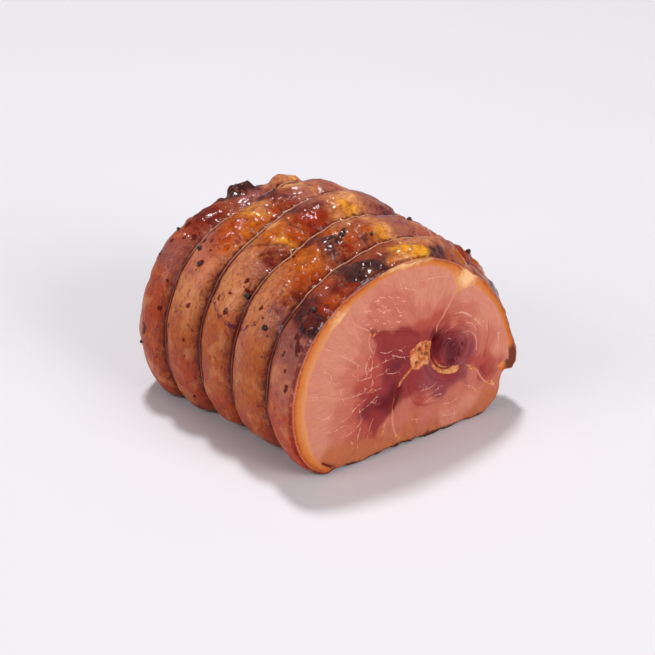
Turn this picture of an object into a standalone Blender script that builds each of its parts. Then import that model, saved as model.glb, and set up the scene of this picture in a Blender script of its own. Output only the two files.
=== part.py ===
"""Smoked gammon joint: a boned, rolled and tied piece of cured leg, roasted and glazed.

The joint lies on its lean underside. Its cut face looks along -Y, the rind and fat go over the top,
and four loops of butcher's twine draw it in, so that it swells between them like a row of pillows.
The origin is on the resting plane, under the middle of the joint. All sizes are in metres.
"""

import math

import bmesh
import bpy
from mathutils import Matrix, Vector

# Driving dimensions.
JOINT_WIDTH = 0.158
JOINT_HEIGHT = 0.114
JOINT_LENGTH = 0.149
TWINE_DIAMETER = 0.0016
KNOT_SIZE = 0.0042
CLEARANCE = 0.0003

# The cross-section at the cut face, clockwise from the left of the foot, as shares of half the
# width and of the height. The step at the right is where the rind ends, proud of the lean.
SECTION = (
    (-0.62, -0.01),
    (-0.82, 0.05),
    (-0.95, 0.18),
    (-1.00, 0.38),
    (-0.95, 0.59),
    (-0.79, 0.78),
    (-0.54, 0.91),
    (-0.25, 0.98),
    (0.02, 1.00),
    (0.26, 0.965),
    (0.49, 0.875),
    (0.73, 0.73),
    (0.91, 0.55),
    (0.99, 0.37),
    (0.99, 0.24),
    (0.91, 0.19),
    (0.86, 0.07),
    (0.72, -0.01),
    (0.35, -0.02),
    (-0.20, -0.02),
)
SWELL_FADE = 0.08
CORE_HEIGHT = 0.42 * JOINT_HEIGHT
FOOT_FLAT = 0.02 * JOINT_HEIGHT

# Swellings over that section: where round it, where along the length, how far each way, how high.
SWELLS = (
    {"round": 0.55, "along": 0.13, "spread_round": 0.12, "spread_along": 0.24, "height": 0.0100},
    {"round": 0.46, "along": 0.55, "spread_round": 0.10, "spread_along": 0.23, "height": 0.0095},
    {"round": 0.04, "along": 0.95, "spread_round": 0.13, "spread_along": 0.34, "height": 0.0100},
    {"round": 0.385, "along": 1.00, "spread_round": 0.09, "spread_along": 0.24, "height": -0.0100},
)

# The loops of twine, from the cut face back: where they lie along the length, how far their tops
# tip back over the height of the joint, and where their knots sit round the section.
LOOPS = (
    {"along": 0.185, "tip": 0.002, "knot": 0.56},
    {"along": 0.400, "tip": 0.000, "knot": 0.31},
    {"along": 0.588, "tip": 0.008, "knot": 0.60},
    {"along": 0.782, "tip": 0.014, "knot": 0.52},
)
TIP_SPREAD = 0.12
TIP_FADE = 0.12
PILLOW_DEPTH = 0.0030
PILLOW_POWER = 2.4
END_FULLNESS = 0.5
GROOVE_DEPTH = 0.0020
GROOVE_HALF_WIDTH = 0.0011
GROOVE_REACH = 0.0050

# How the ends close: the cut face has a tight edge, and the far end is drawn in like a cushion.
FACE_EDGE = 0.0020
FACE_DRAW_IN = 0.0016
END_EDGE = 0.026
END_DRAW_IN = 0.013

# Rings: how many points each has, how many stand between two loops, where the first of them
# stands, how much of a groove's reach they keep off the twine, and how many close the far end.
POINTS_ROUND = 72
STATIONS_BETWEEN = 5
FIRST_STATION = 0.035
GROOVE_SHARE = 0.55
EDGE_SHARE = 0.35
END_STATIONS = 10
TWINE_SIDES = 6
KNOT_SPREAD = 0.6


def clear_scene():
    for thing in list(bpy.data.objects):
        bpy.data.objects.remove(thing)


def smooth_step(value):
    value = min(1.0, max(0.0, value))
    return value * value * (3.0 - 2.0 * value)


def bell(distance, spread):
    return math.exp(-((distance / spread) ** 2))


def round_distance(a, b):
    """The shorter way round from one share of the section to another."""
    apart = abs(a - b) % 1.0
    return min(apart, 1.0 - apart)


def closed_curve(corners, count):
    """count points, evenly spaced along a smooth closed curve through the corners."""
    fine = []
    steps = 40
    size = len(corners)
    for i in range(size):
        p0, p1, p2, p3 = (Vector(corners[(i + k) % size]) for k in (-1, 0, 1, 2))
        for step in range(steps):
            u = step / steps
            fine.append(
                0.5 * (2 * p1 + (p2 - p0) * u + (2 * p0 - 5 * p1 + 4 * p2 - p3) * u**2
                       + (3 * p1 - p0 - 3 * p2 + p3) * u**3)
            )
    fine.append(fine[0])
    lengths = [0.0]
    for a, b in zip(fine, fine[1:]):
        lengths.append(lengths[-1] + (b - a).length)
    points, k = [], 0
    for i in range(count):
        goal = lengths[-1] * i / count
        while lengths[k + 1] < goal:
            k += 1
        share = (goal - lengths[k]) / (lengths[k + 1] - lengths[k])
        points.append(fine[k].lerp(fine[k + 1], share))
    return points


def outward_normals(points):
    """Unit normals of a clockwise ring, smoothed over its neighbours."""
    size = len(points)
    found = []
    for i in range(size):
        along = points[(i + 2) % size] - points[i - 2]
        found.append(Vector((-along.y, along.x)).normalized())
    return found


def station_y(share, height):
    """Where a station lies along Y at a given height: it tips back as its nearest loops do."""
    weights = [bell(share - loop["along"], TIP_SPREAD) for loop in LOOPS]
    fade = smooth_step(share / TIP_FADE) * smooth_step((1.0 - share) / TIP_FADE)
    tip = fade * sum(w * loop["tip"] for w, loop in zip(weights, LOOPS)) / (sum(weights) + 1e-6)
    return (share - 0.5) * JOINT_LENGTH + tip * (height - CORE_HEIGHT) / JOINT_HEIGHT


def pillow(share):
    """How full the swelling is, from 0 at a loop's seat to 1 on the crest between two loops."""
    first, last = LOOPS[0]["along"], LOOPS[-1]["along"]
    marks = [-first] + [loop["along"] for loop in LOOPS] + [1.0 + END_FULLNESS * (1.0 - last)]
    seat = GROOVE_HALF_WIDTH / JOINT_LENGTH
    for low, high in zip(marks, marks[1:]):
        if share <= high:
            across = (2.0 * share - low - high) / (high - low - 2.0 * seat)
            return 1.0 - min(1.0, abs(across)) ** PILLOW_POWER
    return 0.0


def groove(share):
    """How deep the twine cuts in, from 1 on its seat to 0 at the groove's edge."""
    apart = min(abs(share - loop["along"]) for loop in LOOPS) * JOINT_LENGTH
    return 1.0 - smooth_step((apart - GROOVE_HALF_WIDTH) / (GROOVE_REACH - GROOVE_HALF_WIDTH))


def inset(share):
    return PILLOW_DEPTH * (1.0 - pillow(share)) + GROOVE_DEPTH * groove(share)


def swelling(round_share, share):
    return sum(
        s["height"]
        * bell(round_distance(round_share, s["round"]), s["spread_round"])
        * bell(share - s["along"], s["spread_along"])
        * smooth_step(share / SWELL_FADE)
        for s in SWELLS
    )


def end_scale(share):
    """How much of the section is left as the two ends round off."""
    from_face = share * JOINT_LENGTH
    from_end = (1.0 - share) * JOINT_LENGTH
    drawn = 0.0
    if from_end < END_EDGE:
        drawn = END_DRAW_IN * (1.0 - math.sqrt(1.0 - (1.0 - from_end / END_EDGE) ** 2))
    if from_face < FACE_EDGE:
        drawn += FACE_DRAW_IN * (1.0 - math.sqrt(1.0 - (1.0 - from_face / FACE_EDGE) ** 2))
    return 1.0 - drawn / (JOINT_HEIGHT / 2)


def section_point(section, normals, i, share, depth):
    """A point of the section at a station, depth below the crest's surface and above its foot."""
    out = swelling(i / POINTS_ROUND, share) - depth
    flat = section[i] + normals[i] * out
    scale = end_scale(share)
    z = max(CORE_HEIGHT + (flat.y - CORE_HEIGHT) * scale, depth - FOOT_FLAT)
    return Vector((flat.x * scale, station_y(share, z), z))


def stations():
    """Shares of the length where rings stand: two to each twine seat, and more between."""
    seat = GROOVE_HALF_WIDTH / JOINT_LENGTH
    edge = GROOVE_REACH / JOINT_LENGTH
    found = [0.0, EDGE_SHARE * FACE_EDGE / JOINT_LENGTH, FACE_EDGE / JOINT_LENGTH]
    start = FIRST_STATION
    for loop in LOOPS:
        stop = loop["along"] - edge * GROOVE_SHARE
        count = STATIONS_BETWEEN
        found += [start + (stop - start) * k / (count - 1) for k in range(count)]
        found += [loop["along"] - seat, loop["along"] + seat]
        start = loop["along"] + edge * GROOVE_SHARE
    last = END_STATIONS - 1
    found += [start + (1.0 - start) * math.sin(math.pi / 2 * k / last) for k in range(END_STATIONS)]
    return found


def add_object(name, mesh, colour, roughness):
    data = bpy.data.meshes.new(name)
    bmesh.ops.recalc_face_normals(mesh, faces=mesh.faces)
    mesh.to_mesh(data)
    mesh.free()
    material = bpy.data.materials.new(name)
    material.use_nodes = True
    surface = material.node_tree.nodes["Principled BSDF"]
    surface.inputs["Base Color"].default_value = (*colour, 1.0)
    surface.inputs["Roughness"].default_value = roughness
    data.materials.append(material)
    made = bpy.data.objects.new(name, data)
    bpy.context.scene.collection.objects.link(made)
    return made


def bridge_rings(mesh, rings, closed=False):
    pairs = list(zip(rings, rings[1:] + rings[:1])) if closed else list(zip(rings, rings[1:]))
    for near, far in pairs:
        for i in range(len(near)):
            k = (i + 1) % len(near)
            mesh.faces.new((near[i], far[i], far[k], near[k]))


def make_joint(section, normals):
    mesh = bmesh.new()
    rings = []
    for share in stations():
        points = [
            section_point(section, normals, i, share, inset(share)) for i in range(POINTS_ROUND)
        ]
        rings.append([mesh.verts.new((p.x, p.y, max(0.0, p.z))) for p in points])
    bridge_rings(mesh, rings)
    mesh.faces.new(rings[0])
    mesh.faces.new(rings[-1][::-1])
    return add_object("gammon", mesh, (0.55, 0.22, 0.12), 0.4)


def make_twine(name, loop, section, normals):
    """One loop of twine in its groove, thicker where it is knotted."""
    mesh = bmesh.new()
    rings = []
    share = loop["along"]
    seat = inset(share) - CLEARANCE
    for i in range(POINTS_ROUND):
        apart = round_distance(i / POINTS_ROUND, loop["knot"]) * POINTS_ROUND
        radius = TWINE_DIAMETER / 2 + (KNOT_SIZE - TWINE_DIAMETER) / 2 * bell(apart, KNOT_SPREAD)
        centre = section_point(section, normals, i, share, seat - radius)
        out = Vector((normals[i].x, 0.0, normals[i].y))
        ring = []
        for k in range(TWINE_SIDES):
            turn = 2.0 * math.pi * (k + 0.5) / TWINE_SIDES
            spot = centre + radius * (math.cos(turn) * out + math.sin(turn) * Vector((0, 1, 0)))
            ring.append(mesh.verts.new(spot))
        rings.append(ring)
    bridge_rings(mesh, rings, closed=True)
    return add_object(name, mesh, (0.45, 0.24, 0.13), 0.7)


def centre_on_origin(joint, others):
    """Moves everything sideways, so that the joint's box stands centred on the origin."""
    across = [vertex.co.x for vertex in joint.data.vertices]
    middle = (min(across) + max(across)) / 2
    for thing in (joint, *others):
        thing.data.transform(Matrix.Translation((-middle, 0.0, 0.0)))


def main():
    clear_scene()
    corners = [(x * JOINT_WIDTH / 2, z * JOINT_HEIGHT) for x, z in SECTION]
    section = closed_curve(corners, POINTS_ROUND)
    normals = outward_normals(section)
    joint = make_joint(section, normals)
    loops = [
        make_twine(f"twine_{number}", loop, section, normals)
        for number, loop in enumerate(LOOPS, start=1)
    ]
    centre_on_origin(joint, loops)


main()
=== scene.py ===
import itertools
import math

import bmesh
import bpy
import numpy as np
from mathutils import Euler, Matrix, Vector
from mathutils.bvhtree import BVHTree
from mathutils.geometry import delaunay_2d_cdt


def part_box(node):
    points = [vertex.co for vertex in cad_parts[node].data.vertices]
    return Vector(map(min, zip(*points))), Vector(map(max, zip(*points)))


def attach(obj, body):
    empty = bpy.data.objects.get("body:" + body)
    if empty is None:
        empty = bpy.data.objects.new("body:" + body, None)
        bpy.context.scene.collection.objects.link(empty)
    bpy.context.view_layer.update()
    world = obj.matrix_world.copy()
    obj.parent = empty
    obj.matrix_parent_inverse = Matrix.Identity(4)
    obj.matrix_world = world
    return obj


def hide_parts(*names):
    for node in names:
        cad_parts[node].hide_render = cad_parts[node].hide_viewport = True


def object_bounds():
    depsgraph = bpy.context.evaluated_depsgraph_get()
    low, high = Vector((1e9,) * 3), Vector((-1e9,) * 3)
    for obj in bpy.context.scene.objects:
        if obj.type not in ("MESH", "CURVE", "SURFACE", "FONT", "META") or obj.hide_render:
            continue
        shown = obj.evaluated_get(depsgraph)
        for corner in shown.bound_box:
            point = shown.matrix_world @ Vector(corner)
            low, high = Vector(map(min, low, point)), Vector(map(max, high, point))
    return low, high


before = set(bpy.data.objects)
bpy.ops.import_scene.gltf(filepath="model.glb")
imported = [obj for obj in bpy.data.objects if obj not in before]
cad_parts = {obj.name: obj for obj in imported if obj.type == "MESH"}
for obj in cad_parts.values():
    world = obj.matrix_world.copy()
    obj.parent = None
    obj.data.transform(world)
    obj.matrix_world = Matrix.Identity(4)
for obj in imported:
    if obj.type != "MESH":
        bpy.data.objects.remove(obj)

# The joint lies with its cut face towards -Y. A place on the rind is given by its turn, in degrees
# from the right-hand side up over the top, and by how far back it is from the cut face, in mm.
# A place on the cut face is given across and up, in mm from the middle of the foot.
mm = 0.001
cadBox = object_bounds()
jointLow, jointHigh = (np.array(corner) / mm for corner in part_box("gammon"))
faceAt = jointLow[1]
lengthAlong = jointHigh[1] - jointLow[1]
coreUp = jointLow[2] + 0.4 * (jointHigh[2] - jointLow[2])


# 0 at low, 1 at high, and soft between; low may be the larger
def smooth(low, high, value):
    share = np.clip((value - low) / (high - low), 0.0, 1.0)
    return share * share * (3.0 - 2.0 * share)


def bell(distance, spread):
    return np.exp(-((distance / spread) ** 2))


# vectors, each made 1 long
def oneLong(vectors):
    return vectors / np.linalg.norm(vectors, axis=1, keepdims=True)


# a ring of points or vectors, with its first again at its end
def closedRing(ring):
    return np.vstack([ring, ring[:1]])


# the length of a line up to each of its points
def runAlong(line):
    return np.concatenate([[0.0], np.cumsum(np.linalg.norm(np.diff(line, axis=0), axis=1))])


# all the places in a dictionary of tones, each with its tone
def listed(tones):
    return [(*place, tone) for tone, places in tones.items() for place in places]


lattice = np.random.default_rng(11).uniform(-1.0, 1.0, (32, 32, 32))


# soft random values, about -1 to 1, for points in mm; size is the width of its lumps
def fuzz(points, size, shift=0.0, octaves=1):
    total, strength = 0.0, 1.0
    for octave in range(octaves):
        place = points * (1.7 ** octave / size) + shift * 7.31 + 3.1
        cell = np.floor(place).astype(int)
        inside = place - cell
        inside = inside * inside * (3.0 - 2.0 * inside)
        for corner in itertools.product((0, 1), repeat=3):
            share = np.prod(np.where(corner, inside, 1.0 - inside), axis=-1)
            at = (cell + corner) % 32
            total = total + strength * share * lattice[at[..., 0], at[..., 1], at[..., 2]]
        strength *= 0.55
    return total * 1.4


# the shortest distance from each flat point to a chain of points, and how far along it is (0..1)
def chainDistance(points, chain):
    chain = np.asarray(chain, float)
    starts = runAlong(chain)
    best = np.full(len(points), 1e9)
    along = np.zeros(len(points))
    for a, b, start, end in zip(chain, chain[1:], starts, starts[1:]):
        share = np.clip((points - a) @ (b - a) / max(1e-9, (b - a) @ (b - a)), 0.0, 1.0)
        gap = np.linalg.norm(points - (a + share[:, None] * (b - a)), axis=1)
        closer = gap < best
        best[closer] = gap[closer]
        along[closer] = ((start + share * (end - start)) / starts[-1])[closer]
    return best, along


# a smooth line through a few corners, with points a step apart
def smoothLine(corners, step=0.8, closed=False):
    corners = [np.array(c, float) for c in corners]
    if closed:
        padded = [corners[-1], *corners, corners[0], corners[1]]
    else:
        padded = [2 * corners[0] - corners[1], *corners, 2 * corners[-1] - corners[-2]]
    fine = []
    for p0, p1, p2, p3 in zip(padded, padded[1:], padded[2:], padded[3:]):
        for u in np.linspace(0, 1, 12, endpoint=False):
            fine.append(0.5 * (2 * p1 + (p2 - p0) * u + (2 * p0 - 5 * p1 + 4 * p2 - p3) * u * u
                               + (3 * p1 - p0 - 3 * p2 + p3) * u ** 3))
    fine.append(corners[0] if closed else corners[-1])
    return evenly(np.array(fine), step)


def evenly(line, step):
    run = runAlong(line)
    wanted = np.linspace(0, run[-1], max(2, int(round(run[-1] / step)) + 1))
    return np.stack([np.interp(wanted, run, side) for side in line.T], axis=1)


# points are in mm; each mark gives every point up to four measures that a finish reads
def makePiece(name, points, faces, finishes, replaced=(), faceFinish=None, marks=None):
    data = bpy.data.meshes.new(name)
    data.from_pydata([tuple(p) for p in np.asarray(points) * mm], [], faces)
    for finish in finishes:
        data.materials.append(finish)
    if faceFinish is not None:
        data.polygons.foreach_set("material_index", np.asarray(faceFinish, np.int32))
    for markName, values in (marks or {}).items():
        wide = np.ones((len(points), 4), np.float32)
        wide[:, :values.shape[1]] = values
        data.attributes.new(markName, "FLOAT_COLOR", "POINT").data.foreach_set("color", wide.ravel())
    data.shade_smooth()
    data.update()
    piece = bpy.data.objects.new(name, data)
    bpy.context.scene.collection.objects.link(piece)
    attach(piece, "root")
    if replaced:
        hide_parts(*replaced)
    return piece


# a finish built from nodes: each method adds some and gives back what comes out of them
class Finish:
    def __init__(self, name, tones=None, **fixed):
        self.material = bpy.data.materials.new(name)
        self.material.use_nodes = True
        self.tree = self.material.node_tree
        self.surface = self.tree.nodes["Principled BSDF"]
        for socket, value in fixed.items():
            self.set(socket, value)
        self.place = self.add("TexCoord").outputs["Object"]
        self.tones = {key: shade(*value) for key, value in (tones or {}).items()}
        self.whole = None

    def set(self, socket, value):
        self.feed(self.surface.inputs[socket.replace("_", " ")], value)

    def feed(self, socket, value):
        if isinstance(value, bpy.types.NodeSocket):
            self.tree.links.new(value, socket)
        elif value is not None:
            socket.default_value = value

    def add(self, kind, *values, **settings):
        made = self.tree.nodes.new("ShaderNode" + kind)
        for key, value in settings.items():
            setattr(made, key, value)
        for socket, value in zip(made.inputs, values):
            self.feed(socket, value)
        return made

    def math(self, operation, *values):
        return self.add("Math", *values, operation=operation).outputs[0]

    def times(self, a, b):
        return self.math("MULTIPLY", a, b)

    def plus(self, a, b):
        return self.math("ADD", a, b)

    def most(self, a, b):
        return self.math("MAXIMUM", a, b)

    def flip(self, a):
        return self.math("SUBTRACT", 1.0, a)

    # a noise about 0 instead of about a half
    def sway(self, amount, noise):
        return self.times(amount, self.math("SUBTRACT", noise, 0.5))

    # a measure whose edges a noise makes ragged
    def ragged(self, value, amount, noise):
        return self.plus(value, self.sway(amount, noise))

    # 0 below low, 1 above high, and soft between; low may be the larger
    def step(self, value, low, high):
        made = self.add("MapRange", value, min(low, high), max(low, high), 0.0, 1.0,
                        interpolation_type="SMOOTHSTEP")
        return self.flip(made.outputs[0]) if low > high else made.outputs[0]

    def mix(self, share, a, b, blend="MIX"):
        made = self.add("Mix", data_type="RGBA", blend_type=blend)
        for slot, value in ((0, share), (6, a), (7, b)):
            self.feed(made.inputs[slot], (*value, 1.0) if isinstance(value, tuple) else value)
        return made.outputs[2]

    # a lighter or darker version of a tone, by red, green and blue factors
    def scaled(self, tone, *factors):
        return self.mix(1.0, tone, factors, "MULTIPLY")

    # lays a tone over the whole, where the share says, by no more than amount
    def paint(self, amount, share, tone):
        tone = self.tones[tone] if isinstance(tone, str) else tone
        share = share if amount == 1 else self.times(amount, share)
        self.whole = self.mix(share, self.whole, tone)

    # the object's own place, or another, measured in lumps; stretch draws them out along an axis
    def lumps(self, kind, size, place, stretch, unit, **inputs):
        scaled = self.add("Mapping", place or self.place)
        scaled.inputs["Scale"].default_value = [1.0 / (size * unit * s) for s in stretch]
        made = self.add(kind, scaled.outputs[0])
        for socket, value in {"Scale": 1.0, **inputs}.items():
            made.inputs[socket].default_value = value
        return made

    # lumps of size mm
    def noise(self, size, detail=2.0, rough=0.5, place=None, stretch=(1, 1, 1), bend=0.0, unit=mm):
        return self.lumps("TexNoise", size, place, stretch, unit, Detail=detail, Roughness=rough,
                          Distortion=bend).outputs["Fac"]

    def cells(self, size, place=None, stretch=(1, 1, 1), unit=mm):
        return self.lumps("TexVoronoi", size, place, stretch, unit).outputs["Distance"]

    # the four measures that the mesh carries under a name
    def mark(self, name):
        made = self.add("Attribute", attribute_name=name)
        return [*self.add("SeparateColor", made.outputs["Color"]).outputs, made.outputs["Alpha"]]

    def carried(self, name, output):
        return self.add("Attribute", attribute_name=name).outputs[output]

    def relief(self, height, depth, strength=1.0, socket="Normal"):
        made = self.add("Bump")
        for key, value in {"Strength": strength, "Distance": depth * mm, "Height": height}.items():
            self.feed(made.inputs[key], value)
        self.set(socket, made.outputs[0])


# sRGB values from 0 to 255 as the linear values that a finish takes
def shade(red, green, blue):
    return tuple(((c / 255 + 0.055) / 1.055) ** 2.4 if c > 10 else c / 3294.6 for c in (red, green, blue))


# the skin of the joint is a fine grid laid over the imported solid
skinGrid = {
    "step": 1.05,           # mm between points round the rind
    "underStep": 2.6,       # mm between points on the underside
    "rowStep": 1.2,         # mm between rows on the crests
    "loopStep": 0.62,       # mm between rows beside a loop of twine
    "endEdge": 26.0,        # mm over which the far end rounds off
    "endRows": 24,
    "passes": 3,            # of smoothing round the rind, but one where its end stays crisp on the right
    "crispTurn": -17.0,     # near this turn
    "flare": 0.45,          # mm that the right side may swell for each mm back from the cut face
    # how far the end of the rind stands out on the right: turn and mm
    "lip": [(-18.6, 0.0), (-18.2, 5.8), (-14.0, 4.0), (-9.5, 3.2), (-4.0, 1.2), (0.0, 0.0)],
    "lipBack": (0.45, 0.55, 7.0),               # its share far back, how much more in front, over these mm
    "lipWaves": [(0.12, 0.21), (0.1, 0.83)],    # how high its waves are, and radians for each mm back
}


def nodeSolid(node):
    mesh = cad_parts[node].data
    points = [vertex.co.copy() for vertex in mesh.vertices]
    return points, BVHTree.FromPolygons(points, [tuple(p.vertices) for p in mesh.polygons])


# each loop lies in a plane that tips back with height
def findLoops():
    loops = []
    for number in range(1, 5):
        points = np.array(nodeSolid(f"twine_{number}")[0]) / mm
        upright = np.column_stack([np.ones(len(points)), points[:, 2] - coreUp])
        start, tip = np.linalg.lstsq(upright, points[:, 1], rcond=None)[0]
        loops.append({"back": float(start - faceAt), "tip": float(tip)})
    return loops


loops = findLoops()
loopBacks = np.array([loop["back"] for loop in loops])


# rows stand close beside each loop of twine and at the cut face
def rowPlaces():
    endStart = lengthAlong - skinGrid["endEdge"]
    rows = [np.array([0.0])]
    stops = [0.0, *loopBacks, endStart]
    for a, b in zip(stops, stops[1:]):
        fine = np.linspace(a, b, 400)
        near = sum(bell(fine - back, 3.5) for back in loopBacks)
        spacing = skinGrid["rowStep"] - (skinGrid["rowStep"] - skinGrid["loopStep"]) * np.minimum(near, 1)
        spacing = spacing * (1.0 - 0.65 * bell(fine, 2.5))
        run = np.concatenate([[0.0], np.cumsum((fine[1] - fine[0]) / spacing[1:])])
        count = int(round(run[-1]))
        rows.append(np.interp(np.linspace(0, run[-1], count + 1)[1:], run, fine))
    turnIn = np.linspace(0, math.pi / 2, skinGrid["endRows"] + 1)[1:]
    rows.append(endStart + skinGrid["endEdge"] * np.sin(turnIn))
    return np.concatenate(rows)


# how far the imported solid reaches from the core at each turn, in mm
def castRow(tree, back, tip, turns):
    start = Vector((0.0, (faceAt + min(max(back, 0.01), lengthAlong - 0.01)) * mm, coreUp * mm))
    reach = []
    for turn in np.radians(turns):
        heading = Vector((math.cos(turn), tip * math.sin(turn), math.sin(turn)))
        hit = tree.ray_cast(start, heading.normalized())[0]
        if hit is None:
            hit = tree.find_nearest(start + heading * 0.1)[0]
        reach.append((hit - start).length / heading.length / mm)
    return np.array(reach)


# columns stand evenly round the section, and further apart underneath
def columnTurns(tree):
    fine = np.linspace(-90.0, 270.0, 1441)
    reach = castRow(tree, lengthAlong * 0.5, 0.0, fine)
    across, up = reach * np.cos(np.radians(fine)), coreUp + reach * np.sin(np.radians(fine))
    steps = np.hypot(np.diff(across), np.diff(up))
    steps = steps * np.where(up[1:] < 4.0, skinGrid["step"] / skinGrid["underStep"], 1.0)
    run = np.concatenate([[0.0], np.cumsum(steps)])
    count = int(run[-1] / skinGrid["step"])
    return np.interp(np.arange(count) * run[-1] / count, run, fine)


def smoothRound(values, passes):
    for _ in range(passes):
        values = 0.5 * values + 0.25 * (np.roll(values, 1, axis=1) + np.roll(values, -1, axis=1))
    return values


# the grid is smoothed most where it is furthest from both ends
def smoothAlong(values, rows):
    fromEnds = np.minimum(rows, lengthAlong - rows)
    spread = np.clip(0.3 * fromEnds, 0.3, 2.6)
    apart = rows[:, None] - rows[None, :]
    weights = np.exp(-0.5 * (apart / spread[:, None]) ** 2) * np.gradient(rows)[None, :]
    return (weights / weights.sum(axis=1, keepdims=True)) @ values


def gridNormals(points):
    roundWays = np.roll(points, -1, axis=1) - np.roll(points, 1, axis=1)
    normals = np.cross(np.gradient(points, axis=0), roundWays)
    return normals / np.maximum(1e-9, np.linalg.norm(normals, axis=2, keepdims=True))


_, jointTree = nodeSolid("gammon")
turns = columnTurns(jointTree)
rows = rowPlaces()
rowTips = np.interp(rows, [0.0, *loopBacks, lengthAlong], [0.0, *[loop["tip"] for loop in loops], 0.0])
cadReach = np.array([castRow(jointTree, back, tip, turns) for back, tip in zip(rows, rowTips)])
reach = smoothAlong(cadReach, rows)
nearLedge = bell(turns - skinGrid["crispTurn"], 7.0)
reach = smoothRound(reach, skinGrid["passes"]) * (1 - nearLedge) + smoothRound(reach, 1) * nearLedge
# on the right the rind leaves the cut face almost straight back, and its wavy end stands out
held = smooth(88.0, 62.0, turns) * smooth(-42.0, -32.0, turns)
reach = reach - held * np.maximum(0.0, reach - reach[:1] - skinGrid["flare"] * rows[:, None])
farShare, frontShare, fade = skinGrid["lipBack"]
lipOut = farShare + frontShare * np.exp(-rows / fade)
for high, often in skinGrid["lipWaves"]:
    lipOut = lipOut + high * np.sin(rows * often)
reach = reach + lipOut[:, None] * np.interp(turns, *zip(*skinGrid["lip"]))
print("skin grid:", len(rows), "rows of", len(turns))

turnGrid, backGrid = np.meshgrid(turns, rows)
tipGrid = rowTips[:, None]


def placeOnCore(reach):
    angle = np.radians(turnGrid)
    return np.stack([
        reach * np.cos(angle),
        faceAt + backGrid + reach * tipGrid * np.sin(angle),
        coreUp + reach * np.sin(angle),
    ], axis=2)


# signed mm from each point of the grid to its nearest loop of twine, and which loop that is
loopGaps = np.stack([backGrid - back for back in loopBacks])
nearestLoop = np.abs(loopGaps).argmin(axis=0)
twineGap = np.take_along_axis(loopGaps, nearestLoop[None], axis=0)[0]


# the rind is made of panels of tan skin and glazed fat, with creases between them
# each tone: its sRGB, then how glossy, how scorched and how blistered it is, 0 to 1
rindTones = {
    "tan": ((182, 89, 42), 0.10, 0.0, 0.0),
    "sand": ((206, 131, 84), 0.10, 0.0, 0.0),
    "pink": ((188, 104, 84), 0.15, 0.0, 0.0),
    "rose": ((172, 70, 42), 0.2, 0.0, 0.0),
    "rust": ((150, 66, 34), 0.8, 0.1, 0.5),
    "fawn": ((188, 114, 76), 0.7, 0.0, 0.4),
    "brick": ((186, 62, 38), 0.2, 0.0, 0.0),
    # mauve is partly painted sheen: the pinkish-grey sheen of the glaze is in its colour, most on the left
    # shoulders
    "mauve": ((152, 82, 72), 0.5, 0.1, 0.2),
    "amber": ((178, 82, 2), 0.85, 0.0, 0.7),
    "gold": ((218, 142, 34), 0.9, 0.0, 0.8),
    "pale": ((218, 148, 90), 0.6, 0.0, 0.3),
    "orange": ((166, 64, 3), 0.8, 0.0, 0.5),
    "red": ((140, 38, 3), 1.0, 0.0, 0.4),
    "deep": ((108, 26, 8), 1.0, 0.2, 0.6),
    # plum is partly painted sheen: the glaze's sheen is in its paler, greyer colour
    "plum": ((104, 48, 46), 0.8, 0.6, 0.5),
    "scorch": ((66, 16, 12), 0.9, 1.0, 1.0),
}

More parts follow.
